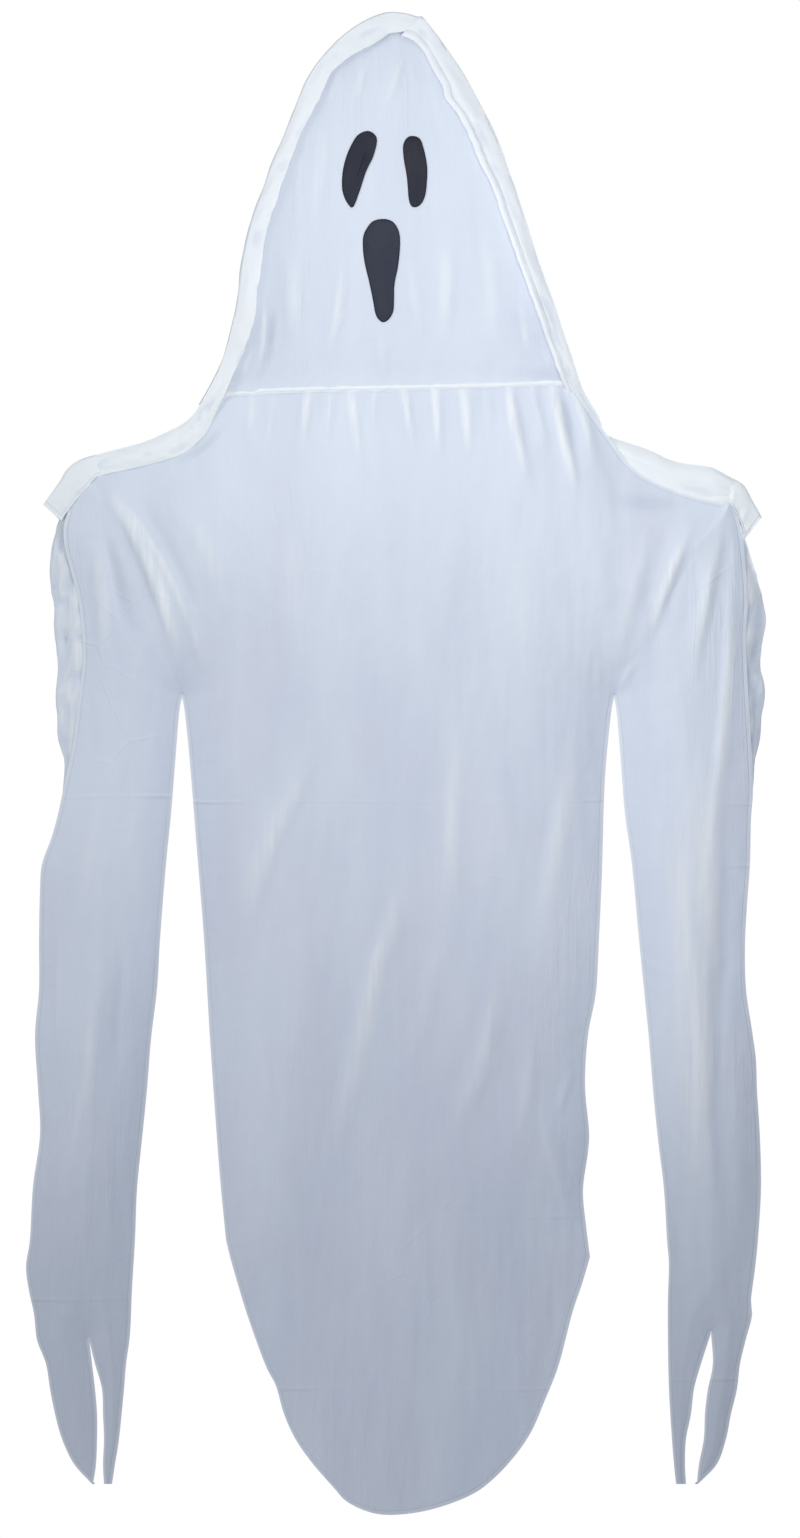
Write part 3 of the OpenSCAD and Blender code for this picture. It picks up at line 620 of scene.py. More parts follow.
# the rim is the crinkled edge of a sleeve's back, and below it both layers share one edge
leftSleeve = {
    'inner': [(182, 697), (179, 714), (175, 764), (171, 814), (166, 864), (160, 939), (157, 989), (151, 1039),
              (147, 1089), (142, 1139), (137, 1189), (135, 1239), (132, 1289), (130, 1334), (126, 1364),
              (124, 1389), (119, 1439), (115, 1464), (112, 1484)],
    'outer': [(80, 478), (72, 500), (64, 525), (65, 548), (71, 572), (79, 604), (83, 655), (78, 703),
              (73, 744), (66, 776)],
    'rim': [(76, 470), (64, 498), (58, 521), (52, 545), (48, 564), (50, 589), (53, 614), (55, 639), (57, 664),
            (55, 689), (56, 714), (58, 739), (63, 762), (63, 789)],
    'shared': [(58, 814), (51, 839), (42, 864), (40, 889), (39, 939), (39, 989), (35, 1036), (38, 1089),
               (40, 1135), (33, 1186), (30, 1239), (26, 1266), (29, 1291), (34, 1314), (37, 1340), (46, 1364),
               (50, 1389), (55, 1414), (62, 1439), (74, 1464), (92, 1484)],
    'crotch': 1340, 'split': 0.56,
    'slotOuter': [(89, 1340), (92, 1364), (95, 1389), (97, 1414), (97, 1439), (96, 1464), (93, 1484)],
    'slotInner': [(89, 1340), (95, 1364), (102, 1389), (103, 1414), (104, 1439), (103, 1464), (104, 1484)]
}
rightSleeve = {
    'inner': [(614, 697), (617, 714), (621, 764), (625, 814), (632, 864), (639, 939), (644, 989), (649, 1039),
              (653, 1089), (658, 1139), (664, 1189), (667, 1239), (669, 1264), (668, 1300), (668, 1339),
              (669, 1389), (672, 1439), (674, 1464), (676, 1484)],
    'outer': [(735, 509), (741, 528), (745, 560), (748, 600), (746, 640), (748, 690), (751, 740)],
    'rim': [(738, 492), (743, 512), (745, 537), (755, 564), (760, 585), (767, 612), (763, 639), (761, 664),
            (766, 688), (763, 714), (760, 739), (756, 764)],
    'shared': [(753, 789), (751, 820), (750, 864), (747, 905), (745, 945), (746, 989), (752, 1030),
               (756, 1060), (757, 1089), (760, 1139), (761, 1189), (758, 1239), (755, 1269), (751, 1300),
               (752, 1316), (746, 1339), (740, 1364), (737, 1389), (731, 1414), (726, 1439), (717, 1464),
               (698, 1484)],
    'crotch': 1333, 'split': 0.49,
    'slotOuter': [(711, 1333), (713, 1364), (708, 1389), (705, 1414), (704, 1439), (699, 1464), (697, 1484)],
    'slotInner': [(711, 1333), (701, 1364), (694, 1389), (691, 1414), (686, 1439), (685, 1464), (686, 1484)]
}
for sleeve in (leftSleeve, rightSleeve):
    for edgeName in ('outer', 'rim'):
        sleeve[edgeName] = sleeve[edgeName] + sleeve['shared']


def edgeLines(sleeveEdge):
    # every free or sewn edge of the cloth, for the depth of its hang
    robeSteps = {'top': 90, 'leftSide': 30, 'rightSide': 40, 'tail': 70}
    sleeveSteps = {'inner': 50, sleeveEdge: 80, 'slotOuter': 12, 'slotInner': 12}
    lines = [curveThrough(outline[key], steps) for key, steps in robeSteps.items()]
    for sleeve in (leftSleeve, rightSleeve):
        lines += [curveThrough(sleeve[key], steps) for key, steps in sleeveSteps.items()]
    return lines


frontEdges = edgeLines('outer')
backEdges = edgeLines('rim')

hang = {
    'reach': 33.0,      # mm, how far the cloth stands off the middle plane
    'run': 62.0,        # mm, how quickly it gets there from an edge
    'tailRun': 3.4,     # slower by this much at the tail
    'tailFrom': 1150,   # pixel row where that begins
    'tailOver': 250,
    'hold': 11.0,       # mm from an edge over which folds come in
    'seam': 1.6,
    'topFade': 25,      # pixels over which the top edge keeps its own depth
    # mm that the top edge stands out, along its pixel columns
    'topAt': (85, 110, 130, 165, 200, 226, 560, 575, 640, 700, 722, 740),
    'topDepth': (8.5, 9, 8, 8, 10, 11, 9.5, 10.5, 11, 11, 10, 8)
}
topLine = frontEdges[0]

# folds of the front: line, half width, height, steep flank
frontFolds = [
    # gathers under the neck seam
    ([(254, 368), (250, 420), (244, 452)], 5, 3.4, 0.2),
    ([(275, 366), (268, 430), (262, 470)], 5, 2.7, 0),
    ([(310, 364), (303, 425), (297, 468)], 6, 3.4, 0.2),
    ([(334, 363), (328, 420), (325, 455)], 4, 3, 0),
    ([(349, 363), (356, 430), (360, 478)], 6, 4.1, -0.2),
    ([(375, 362), (373, 412), (373, 440)], 4, 3, 0),
    ([(400, 362), (409, 420), (414, 462)], 5, 3.9, -0.2),
    ([(432, 361), (437, 425), (438, 470)], 5, 3.4, 0),
    ([(461, 360), (466, 425), (467, 472)], 6, 4.1, 0.2),
    ([(483, 359), (489, 410), (494, 440)], 4, 2.7, 0),
    ([(503, 359), (518, 440), (532, 500)], 7, 5.3, -0.25),
    ([(523, 358), (540, 420), (552, 462)], 5, 3, 0),
    ([(547, 358), (566, 445), (580, 512)], 7, 5.3, -0.25),
    ([(562, 362), (586, 425), (596, 480)], 6, 3.9, 0),
    # drag folds from the left shoulder to the armpit
    ([(101, 474), (118, 505), (137, 540), (159, 594), (172, 634), (184, 680)], 9, 7.3, 0.35),
    ([(118, 490), (158, 553), (183, 607), (197, 646), (211, 696)], 7, 4.2, 0.2),
    ([(96, 482), (104, 530), (118, 580), (134, 630), (150, 680)], 10, -2.7, 0),
    ([(100, 500), (101, 560), (104, 630), (106, 700)], 10, 2.4, 0),
    ([(150, 480), (188, 520), (215, 570), (232, 640)], 16, 2.1, 0),
    # folds under the right shoulder
    ([(694, 508), (684, 540), (668, 582), (651, 628), (634, 664)], 8, 4.2, -0.3),
    ([(720, 512), (716, 548), (706, 606), (697, 655), (692, 700)], 8, 4.1, -0.3),
    ([(656, 520), (640, 570), (620, 640), (604, 690)], 11, 2.4, 0),
    ([(736, 530), (733, 590), (730, 650), (726, 700), (722, 745), (716, 805), (711, 905)], 8, 3.6, 0.35),
    ([(600, 499), (640, 503), (680, 505), (712, 503)], 12, -2.8, 0.15),
    ([(616, 698), (628, 674), (642, 656)], 4, 1.8, 0),
    ([(603, 700), (598, 676), (598, 652)], 4, 1.4, 0),
    ([(592, 690), (588, 668), (590, 640)], 4, 1.1, 0),
    # long soft folds of the body
    ([(316, 742), (296, 790), (272, 838), (252, 900), (240, 960)], 14.4, 3, -0.35),
    ([(326, 770), (325, 815), (319, 862), (314, 920)], 8, 1.3, 0),
    ([(404, 820), (394, 910), (377, 962), (361, 1037), (346, 1100), (331, 1160), (311, 1204)], 12, 3.4, 0.3),
    ([(460, 700), (456, 760), (452, 830), (452, 890), (462, 950)], 13.6, 3, 0),
    ([(452, 890), (438, 960), (424, 1020), (410, 1090)], 10.4, 1.5, 0.2),
    ([(573, 700), (570, 770), (556, 850), (546, 925), (545, 990)], 12, 2.5, 0.3),
    ([(500, 930), (494, 1005), (480, 1065), (460, 1118), (446, 1170)], 11.2, 2.5, 0.25),
    ([(538, 1000), (528, 1070), (520, 1130), (516, 1190)], 11.2, 1.7, 0),
    ([(252, 1010), (262, 1060), (270, 1108), (282, 1150)], 8.8, 1.8, -0.3),
    ([(300, 960), (296, 1030), (290, 1100)], 10.4, 1.3, 0),
    ([(540, 1100), (549, 1140), (563, 1195), (577, 1240)], 7.2, 1.7, 0.4),
    ([(574, 1060), (566, 1090), (556, 1120)], 4.8, 1.1, 0),
    ([(400, 1130), (396, 1200), (392, 1270), (394, 1340)], 16, 1.2, 0),
    ([(350, 1280), (354, 1310), (358, 1352)], 4.8, 0.8, 0.2),
    ([(456, 1180), (452, 1250), (448, 1330)], 14.4, 0.8, 0),
    ([(300, 1210), (300, 1270), (306, 1340), (320, 1400)], 12.8, 1, 0),
    ([(396, 1436), (404, 1462), (412, 1486)], 8, 0.8, 0.5),
    ([(436, 1478), (448, 1488), (458, 1499)], 3.2, 0.6, 0),
    ([(536, 1300), (534, 1350), (520, 1400)], 8.8, 0.9, 0),
    ([(566, 1275), (560, 1330), (545, 1385)], 4.8, 0.7, 0),
    ([(234, 410), (216, 436), (190, 456), (150, 473)], 6.4, -2.7, 0),
    # chest
    ([(300, 480), (292, 560), (296, 640), (312, 720)], 19.2, 1.5, 0),
    ([(372, 480), (376, 560), (386, 640), (384, 720)], 20.8, 1.3, 0),
    ([(440, 470), (446, 550), (440, 630), (452, 700)], 17.6, 1.3, 0),
    ([(512, 500), (520, 570), (524, 650), (520, 730)], 17.6, 1.5, 0),
    ([(246, 620), (238, 700), (236, 780), (226, 860)], 12.8, 1.3, 0),
    # left sleeve
    ([(62, 890), (59, 960), (58, 1040), (60, 1100)], 5, 2, 0.3),
    ([(98, 930), (94, 1000), (84, 1088), (68, 1170), (62, 1230)], 9, 2.8, 0.3),
    ([(120, 900), (118, 970), (114, 1040), (118, 1110)], 9, -1.8, 0),
    ([(140, 760), (134, 850), (132, 930)], 11, 1.6, 0),
    ([(104, 760), (92, 840), (80, 920), (76, 980)], 10, 1.8, 0),
    ([(110, 1120), (106, 1190), (108, 1260), (112, 1320)], 9, 1.1, 0),
    ([(38, 1298), (62, 1312), (92, 1334)], 4, 0.7, 0),
    ([(76, 1286), (86, 1310), (94, 1336)], 4, 0.6, 0),
    ([(62, 1376), (74, 1410), (86, 1452)], 7, 0.7, 0),
    # right sleeve
    ([(702, 690), (705, 800), (707, 900), (705, 1000), (701, 1105), (704, 1200), (709, 1300)],
     22, 5.4, -0.55),
    ([(731, 945), (729, 1000), (727, 1062), (732, 1110)], 7, 1.8, 0),
    ([(668, 760), (672, 850), (680, 950), (684, 1030)], 14, 1.8, 0),
    ([(662, 1118), (678, 1142), (697, 1176)], 4, 1, 0),
    ([(642, 957), (656, 966), (674, 976)], 4, 0.8, 0),
    ([(736, 1130), (738, 1190), (733, 1260)], 9, 1.1, 0),
    ([(688, 1180), (690, 1250), (688, 1320)], 10, 0.9, 0)
]
frontHang = {'edges': frontEdges, 'folds': frontFolds, 'seed': 11}

gathers = {
    'from': 238, 'to': 592, 'ends': 14,    # pixel columns, and how softly they end
    'height': 1.3,                         # mm
    'fan': 0.0012,
    'length': 40, 'uneven': 26,            # pixels
    'seamAt': (226, 400, 574),
    'seamRow': (395, 388, 384)
}


def gatherHeight(px, py):
    # fine gathers that fan out below the neck seam
    below = np.maximum(0, py - np.interp(px, gathers['seamAt'], gathers['seamRow']))
    origin = sighting['middle'] + (px - sighting['middle']) / (1 + gathers['fan'] * below)
    length = gathers['length'] + gathers['uneven'] * softNoise(origin / 21, origin * 0, 91)
    inside = smooth((origin - gathers['from']) / gathers['ends'])
    inside = inside * smooth((gathers['to'] - origin) / gathers['ends'])
    wave = softNoise(origin / 7.5, below / 160, 92) + 0.4 * softNoise(origin / 19, below / 200, 93)
    return gathers['height'] * inside * wave * np.exp(-below / length)


def hangDepth(px, py, edges, folds, seed):
    # how far a hanging layer stands from the middle plane, mm to its edge, and how bunched it is
    edge = edgeDistance(px, py, edges)
    onTop = np.exp(-nearLine(px, py, topLine)[0] / hang['topFade'])
    start = hang['seam'] + onTop * (np.interp(px, hang['topAt'], hang['topDepth']) - hang['seam'])
    run = hang['run'] * (1 + hang['tailRun'] * smooth((py - hang['tailFrom']) / hang['tailOver']))
    depth = start + (hang['reach'] - start) * (1 - np.exp(-edge / run))
    hold = 1 - np.exp(-edge / hang['hold'])
    sway = px + 0.10 * py
    bunch = foldHeight(px, py, folds) + gatherHeight(px, py)
    depth += hold * bunch
    depth += hold * 1.4 * softNoise(sway / 34, py / 330, seed)
    depth += hold * 0.8 * softNoise((px - 0.16 * py) / 15, py / 120, seed + 1)
    depth += 0.4 * softNoise(px / 7, py / 46, seed + 2) + 0.3 * softNoise(px / 9, py / 9, seed + 3)
    return depth, edge, bunch


# the back hangs in plainer folds of its own
backFolds = [
    ([(300, 440), (296, 640), (304, 860), (290, 1080), (300, 1300)], 24, 6.0, 0.2),
    ([(380, 440), (386, 660), (372, 900), (384, 1150), (378, 1400)], 26, 6.5, -0.2),
    ([(468, 440), (460, 660), (474, 900), (458, 1150), (462, 1380)], 26, 6.0, 0.2),
    ([(540, 470), (548, 680), (538, 900), (532, 1100), (520, 1280)], 22, 5.0, 0),
    ([(236, 560), (240, 760), (250, 980), (262, 1180)], 20, 4.6, 0),
    ([(110, 500), (140, 570), (182, 690)], 12, 4.0, 0),
    ([(700, 520), (664, 600), (618, 690)], 12, 4.0, 0),
    ([(96, 700), (92, 900), (84, 1100), (78, 1300)], 14, 4.0, 0),
    ([(704, 700), (704, 900), (712, 1100), (718, 1300)], 14, 4.0, 0)
]
backHang = {'edges': backEdges, 'folds': backFolds, 'seed': 37}

# a sleeve's back turns this many mm further back along its outer edge, between two pixel rows
backWrap = {'strip': 13.0, 'from': 490, 'to': 792, 'middle': 404, 'outside': 270, 'bunch': 0.5}


def backDepth(px, py):
    depth, edge, bunch = hangDepth(px, py, **backHang)
    upper = smooth((py - backWrap['from']) / 40) * smooth((backWrap['to'] - py) / 60)
    outside = smooth((np.abs(px - backWrap['middle']) - backWrap['outside']) / 60)
    turned = backWrap['strip'] * upper * outside * np.exp(-edge / 60)
    return depth + turned, edge, bunch * backWrap['bunch']


# robe

robe = {'frontCols': 220, 'backCols': 120, 'thick': 1.0, 'flat': (0.90, 1.62), 'area': 0.94}


def robeGrid(cols, step):
    left = np.vstack([leftArmhole[::step], curveThrough(outline['leftSide'], sideRows // step + 1)[1:]])
    right = np.vstack([rightArmhole[::step], curveThrough(outline['rightSide'], sideRows // step + 1)[1:]])
    top, tail = curveThrough(outline['top'], cols + 1), curveThrough(outline['tail'], cols + 1)
    grid = fillPatch(top, tail, left, right)
    return grid[..., 0], grid[..., 1]


def finishRobe(piece, node):
    finishPiece(piece, robeCloth, 'sheer_cloth', node)
    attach(piece, 'torso')


def makeRobe():
    px, py = robeGrid(robe['frontCols'], 1)
    depth, edge, bunch = hangDepth(px, py, **frontHang)
    front = layCloth('robeFront', toRow(px, py, depth), edge, robe['thick'], bunch=bunch)
    finishRobe(front, 'robe_front')
    px, py = robeGrid(robe['backCols'], 2)
    depth, edge, bunch = backDepth(px, py)
    back = layCloth('robeBack', toRow(px, py, -depth), edge, robe['thick'], 'back', bunch=bunch)
    finishRobe(back, 'robe_back')


makeRobe()
print('robe laid')


# sleeves

sleeveCut = {
    'lowerRows': 180, 'stripCols': 8,
    'frontCols': (22, 20), 'backCols': (14, 12),    # outside the fork line, then inside it
    'forkRun': 160,         # pixel rows above the fork over which its line comes in
    'crush': (3.6, 2.0),    # mm
    'thick': 1.0, 'flat': (0.22, 1.44), 'area': 0.215
}
bendReach = {'way': (0.60, 0.80), 'length': 0.72}    # way and length of a sleeve's turn below the armpit; no bend is made from them


def sleeveRows(sleeve, armhole, step):
    below = curveThrough(sleeve['inner'], sleeveCut['lowerRows'] // step + 1)[1:]
    return np.vstack([armhole[::step], below])


def sleeveSpread(sleeve, outerX, inner, cols):
    # columns from the outer edge to the fork line, and from the fork line to the inner edge
    rows = inner[:, 1]
    fork = outerX + (inner[:, 0] - outerX) * sleeve['split']
    cut = rows >= sleeve['crotch']
    forkAt = np.interp(sleeve['crotch'], rows, fork)
    comesIn = smooth((rows - sleeve['crotch'] + sleeveCut['forkRun']) / sleeveCut['forkRun'])
    shift = (sleeve['slotOuter'][0][0] - forkAt) * comesIn
    outerFork = np.where(cut, acrossAt(sleeve['slotOuter'], rows), fork + shift)
    innerFork = np.where(cut, acrossAt(sleeve['slotInner'], rows), fork + shift)
    a, b = [np.linspace(0, 1, count + 1)[None] for count in cols]
    outerPart = outerX[:, None] * (1 - a) + outerFork[:, None] * a
    innerPart = innerFork[:, None] * (1 - b) + inner[:, :1] * b
    return outerPart, innerPart


def sleeveBend(piece, side):
    start = toRow(*outline[sideName(side) + 'Side'][0], 0)
    way = np.array([side * bendReach['way'][0], 0, -bendReach['way'][1]])
    sideName(side) + '_arm'
    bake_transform(piece)


def finishSleeve(piece, side, material, layer):
    finishPiece(piece, material, 'sheer_cloth', sideName(side) + '_sleeve_' + layer)
    sleeveBend(piece, side)
    sideName(side) + '_sleeve_loop'


def makeSleeveFront(side, sleeve, armhole, material):
    inner = sleeveRows(sleeve, armhole, 1)
    rows = inner[:, 1]
    px = np.hstack(sleeveSpread(sleeve, acrossAt(sleeve['outer'], rows), inner, sleeveCut['frontCols']))
    fork = sleeveCut['frontCols'][0]
    if side > 0:
        px = px[:, ::-1]
        fork = sleeveCut['frontCols'][1]
    py = np.broadcast_to(rows[:, None], px.shape)
    depth, edge, bunch = hangDepth(px, py, **frontHang)
    name = sideName(side) + 'SleeveFront'
    piece = layCloth(name, toRow(px, py, depth), edge, sleeveCut['thick'], 'front', fork, bunch=bunch)
    finishSleeve(piece, side, material, 'front')


def makeSleeveBack(side, sleeve, armhole, material):
    # the back's outer edge turns forward and shows beyond the front, crinkled
    inner = sleeveRows(sleeve, armhole, 2)
    rows = inner[:, 1]
    crinkle = 1.2 * softNoise(rows / 17, rows * 0, 5) + 0.8 * softNoise(rows / 7, rows * 0, 6)
    rim = acrossAt(sleeve['rim'], rows) + side * crinkle * smooth((800 - rows) / 60)
    frontEdge = acrossAt(sleeve['outer'], rows) - side * 3
    cols = sleeveCut['stripCols']
    s = np.linspace(0, 1, cols + 1)[None, :-1]
    strip = frontEdge[:, None] * (1 - s) + rim[:, None] * s
    px = np.hstack([strip, *sleeveSpread(sleeve, rim, inner, sleeveCut['backCols'])])
    py = np.broadcast_to(rows[:, None], px.shape).copy()
    depth, edge, bunch = backDepth(px, py)
    depth = -depth
    wide = smooth(np.abs(rim - frontEdge) / 12)[:, None]
    coarse, fine = sleeveCut['crush']
    crush = (softNoise(px / 6, py / 13, 8) * coarse + softNoise(px / 3.5, py / 8, 9) * fine)[:, :cols]
    depth[:, :cols] = 1 - s + depth[:, cols][:, None] * s + crush * np.sin(np.pi * s) * wide
    edge[:, :cols] += 20
    # the crinkled rim takes the crest colour: painted light where its faces turn from the lamps
    bunch[:, :cols] = 1.8 + 1.2 * crush
    fork = cols + sleeveCut['backCols'][0]
    if side > 0:
        px, py, depth, edge, bunch = [part[:, ::-1] for part in (px, py, depth, edge, bunch)]
        fork = sleeveCut['backCols'][1]
    name = sideName(side) + 'SleeveBack'
    piece = layCloth(name, toRow(px, py, depth), edge, sleeveCut['thick'], 'back', fork, bunch=bunch)
    finishSleeve(piece, side, material, 'back')


for makeLayer in (makeSleeveFront, makeSleeveBack):
    makeLayer(-1, leftSleeve, leftArmhole, leftSleeveCloth)
    makeLayer(1, rightSleeve, rightArmhole, rightSleeveCloth)
print('sleeves laid')


# hood

# pixel pairs down each half of the arch: the outline, then the inner edge of the doubled border
hoodCut = {
    'left': [(418, 18, 414, 29), (409, 15.3, 405, 31), (399, 13.4, 395, 32.5), (384, 14, 387, 34),
             (361, 24, 371, 44), (338, 41, 352, 55.5), (319, 62, 333, 71), (310, 76, 326, 82),
             (303, 89, 321, 95),
             (293, 114, 311, 114), (283, 139, 300, 136), (272, 164, 289, 166), (263.5, 189, 281, 189),
             (254, 214, 272, 214), (247, 239, 265, 239), (242, 264, 262, 264), (239, 289, 257.5, 288),
             (236, 310, 255, 311), (231.5, 330, 251, 331), (225, 354, 242, 356), (217, 374, 232, 377),
             (208, 391, 225, 394), (200, 405, 217, 410)],
    'right': [(418, 18, 401, 35.5), (421, 17.3, 409, 38), (425, 21, 417, 43.5), (440, 41, 428, 58),
              (460, 70, 438, 77), (474, 95, 446, 96), (487, 119, 459, 119), (499, 145, 473, 146),
              (508, 170, 484, 170), (515, 189, 493, 190), (523, 214, 502, 215), (531, 239, 511, 240),
              (539, 264, 520, 265), (548, 289, 529, 290), (557, 314, 538, 315), (565, 339, 547, 340),
              (573, 362, 556, 363), (581, 386, 565, 388), (589, 402, 574, 404), (599, 418, 586, 420),
              (602, 431, 595, 436)],
    'crown': 13,                          # pixel row of its top
    # mm that it stands out, mm down over which it does so, and how it draws in lower down
    'front': {'reach': 45.0, 'run': 60, 'ease': 0.5, 'easeFrom': 400, 'easeOver': 132},
    'rear': {'reach': 80.0, 'run': 90, 'ease': 0.3, 'easeFrom': 300, 'easeOver': 240},
    # the hem from its raw edge to the fold: share of the border's width, and mm below its face
    'hem': [(0.45, -5.0), (0.75, -4.4), (0.93, -3.2), (1.005, -1.5)],
    'unstitched': 40,                     # mm, keeps the row of stitches off the left half
    'middle': 397, 'seamDrop': 18,        # pixels, of the seam at the back
    'slit': 4.0, 'slitRow': 38,           # pixels, for the hang eye
    'wall': 6.0, 'bulge': 0.8, 'drape': 4.5,
    'rows': 96, 'bandCols': 12, 'domeCols': 16, 'thick': 0.9, 'flat': (0.80, 0.60), 'area': 0.34
}


def hoodReach(py, part):
    down = np.maximum(0, (py - hoodCut['crown']) * mmPerPixel)
    rise = part['reach'] * (1 - np.exp(-down / part['run']))
    return rise * (1 - part['ease'] * smooth((down - part['easeFrom']) / part['easeOver']))


def hoodEdges(side):
    # outline and inner edge of one half of the arch, and how far the border stands out
    pairs = curveThrough(hoodCut[sideName(side)], hoodCut['rows'] + 1)
    line, inner = pairs[:, :2], pairs[:, 2:]
    run = np.linspace(0, 1, hoodCut['rows'] + 1)
    wave = 0.05 * softNoise(run * 24, run * 0, 21 + side) + 0.03 * softNoise(run * 60, run * 0, 31)
    inner = inner + (inner - line) * (wave * smooth(run / 0.1))[:, None]
    crest = hoodReach(inner[:, 1], hoodCut['front'])
    if side > 0:
        # the right end goes in behind the robe's front
        crest = crest * (1 - 0.72 * smooth((inner[:, 1] - 370) / 32))
    else:
        # the left half laps over the right at the crown and sinks into the shoulder strip
        crest = crest + 1.6 * smooth((0.1 - run) / 0.1) - 7.0 * smooth((run - 0.925) / 0.075)
    return line, inner, crest, run


def hoodHalf(side):
    # columns of places, mm to the hem and wrinkles, from the raw edge inside round to the back seam
    line, inner, crest, run = hoodEdges(side)
    back = (hoodEdges(-1)[0][:, 1] + hoodEdges(1)[0][:, 1]) / 2 + hoodCut['seamDrop'] * (1 - run)
    wide = np.linalg.norm(inner - line, axis=1) * mmPerPixel
    away = 0 if side > 0 else hoodCut['unstitched']
    low = 0.8 * crest
    plain = 0 * run
    laid = []
    # doubled hem, then over the border to the outline
    profile = [(inset, drop, 1.0) for inset, drop in hoodCut['hem']]
    profile += [(1 - t, 0.0, 1 - t ** 1.9) for t in np.linspace(0, 1, hoodCut['bandCols'] + 1)]
    for inset, drop, rise in profile:
        at = line + (inner - line) * inset
        wrinkle = (1.5 * softNoise(run * 26, plain + inset * 2.2, 23 + side)
                   + 0.7 * softNoise(run * 70, plain + inset * 4, 25)) * min(1, inset * 3)
        if side > 0:
            # hem tube along the inner edge
            tube = 1.4 * math.exp(-((inset - 0.86) / 0.12) ** 2)
            groove = 1.2 * math.exp(-((inset - 0.66) / 0.06) ** 2)
            wrinkle = wrinkle + tube - groove
        depth = low + (crest - low) * rise + drop + wrinkle
        hem = (1 - inset) * wide + away if drop == 0 else plain + noHem
        laid.append((np.stack([at[:, 0], at[:, 1], depth], axis=1), hem, wrinkle))
    # straight back past the hoop
    outward = (line - inner) / np.linalg.norm(inner - line, axis=1)[:, None]
    for share in (0.2, 0.45, 0.7, 1.0):
        at = line + outward * hoodCut['bulge'] * math.sin(math.pi * share)
        ruffle = 0.8 * softNoise(run * 26, plain + 7 + share, 29 + side) * math.sin(math.pi * share)
        depth = low - (low + hoodCut['wall']) * share
        laid.append((np.stack([at[:, 0] + ruffle, at[:, 1], depth], axis=1), plain + noHem, plain))
    # then round the back to its middle seam
    opening = hoodCut['slit'] * smooth((hoodCut['slitRow'] - back) / 6)
    for k in range(1, hoodCut['domeCols'] + 1):
        turn = k / hoodCut['domeCols'] * math.pi / 2
        reach = math.cos(turn) ** 0.7 if k < hoodCut['domeCols'] else 0.0
        x = line[:, 0] * reach + (hoodCut['middle'] + side * opening) * (1 - reach)
        y = line[:, 1] + (back - line[:, 1]) * (1 - reach)
        y = y + 3.5 * softNoise(x / 34, x * 0, 33) * smooth((run - 0.75) / 0.25) * math.sin(turn)
        swell = 2.6 * softNoise(x / 40, y / 90, 27) + 1.3 * softNoise(x / 14, y / 40, 28)
        puff = math.sin(2 * turn) * swell
        drape = hoodCut['drape'] * math.sin(9.5 * turn + 0.8 * side) * math.sin(2 * turn)
        drape = drape * smooth((run - 0.15) / 0.7)
        behind = np.maximum(0, hoodReach(y, hoodCut['rear']) - hoodCut['wall'])
        depth = -hoodCut['wall'] - behind * math.sin(turn) ** 0.9 + puff - drape
        laid.append((np.stack([x, y, depth], axis=1), (1 - run) * 640 + 1, plain))
    return [np.stack(part, axis=1) for part in zip(*laid)]


neckBend = {'from': 338, 'to': 398}    # pixel rows between which the head's cloth would turn into the body's; no turn is made from them


def bendAtNeck(piece):
    start, end = [toRow(sighting['middle'], neckBend[key], 0) for key in ('from', 'to')]
    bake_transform(piece)


def makeHood():
    halves = zip(hoodHalf(-1), hoodHalf(1))
    grid, hem, bunch = [np.concatenate([left, right[:, ::-1]], axis=1) for left, right in halves]
    places = toRow(*np.moveaxis(grid, -1, 0))
    piece = layCloth('hoodShell', places, hem, 0, 'back', weld=True, bunch=bunch)
    thicken(piece, hoodCut['thick'], 0, 60)
    finishPiece(piece, borderCloth, 'double_cloth', 'hood')
    bendAtNeck(piece)


makeHood()
print('hood made')


# face

casing = {
    'line': [(218, 396), (226, 394.5), (246, 393), (254, 393), (264, 390.5), (300, 389.5), (325, 388.5),
             (400, 387), (500, 384.5), (556, 382), (574, 385)],
    'half': 2.7, 'rodHalf': 4.8, 'rodRow': 389.3,    # pixels
    'deep': 7.7, 'middle': 4.8,                      # mm
    'along': 260, 'around': 16, 'thick': 0.8, 'flat': (0.52, 0.038), 'area': 0.0185
}
faceCut = {
    'top': 27.0, 'foot': 388, 'lap': 5.0,            # pixels
    'deep': 31.0, 'neck': 11.0, 'recess': 6.0,       # mm
    'crownRow': 60, 'crownLeast': 7.6, 'least': 1.0,
    'cols': 120, 'rows': 124, 'thick': 0.8, 'flat': (0.46, 0.52), 'area': 0.155
}
faceFolds = [
    ([(372, 46), (360, 80), (352, 118)], 6, 1.8, 0),
    ([(408, 44), (394, 80), (382, 122)], 6, 2.0, 0),
    ([(430, 66), (438, 110), (452, 160)], 7, 1.4, 0),
    ([(330, 96), (322, 150), (316, 210), (312, 260)], 9, 1.8, 0),
    ([(300, 220), (296, 290), (300, 350), (300, 386)], 10, 1.6, 0),
    ([(342, 240), (338, 300), (330, 350), (327, 388)], 6, 2.0, 0.3),
    ([(262, 285), (264, 320), (262, 352), (254, 390)], 4, 2.6, 0.3),
    ([(256, 330), (248, 360), (240, 386)], 4, 2.0, 0),
    ([(276, 300), (271, 345), (268, 388)], 6, -1.6, 0),
    ([(440, 210), (446, 280), (440, 340), (446, 384)], 11, 1.8, 0),
    ([(476, 200), (488, 270), (492, 340), (490, 382)], 10, 1.6, 0),
    ([(516, 292), (524, 330), (530, 372)], 5, 2.0, 0),
    ([(540, 340), (546, 360), (552, 380)], 4, 1.6, 0),
    ([(384, 330), (382, 356), (384, 386)], 6, 1.4, 0),
    ([(414, 220), (412, 280), (420, 340), (416, 386)], 8, 1.4, 0)
]


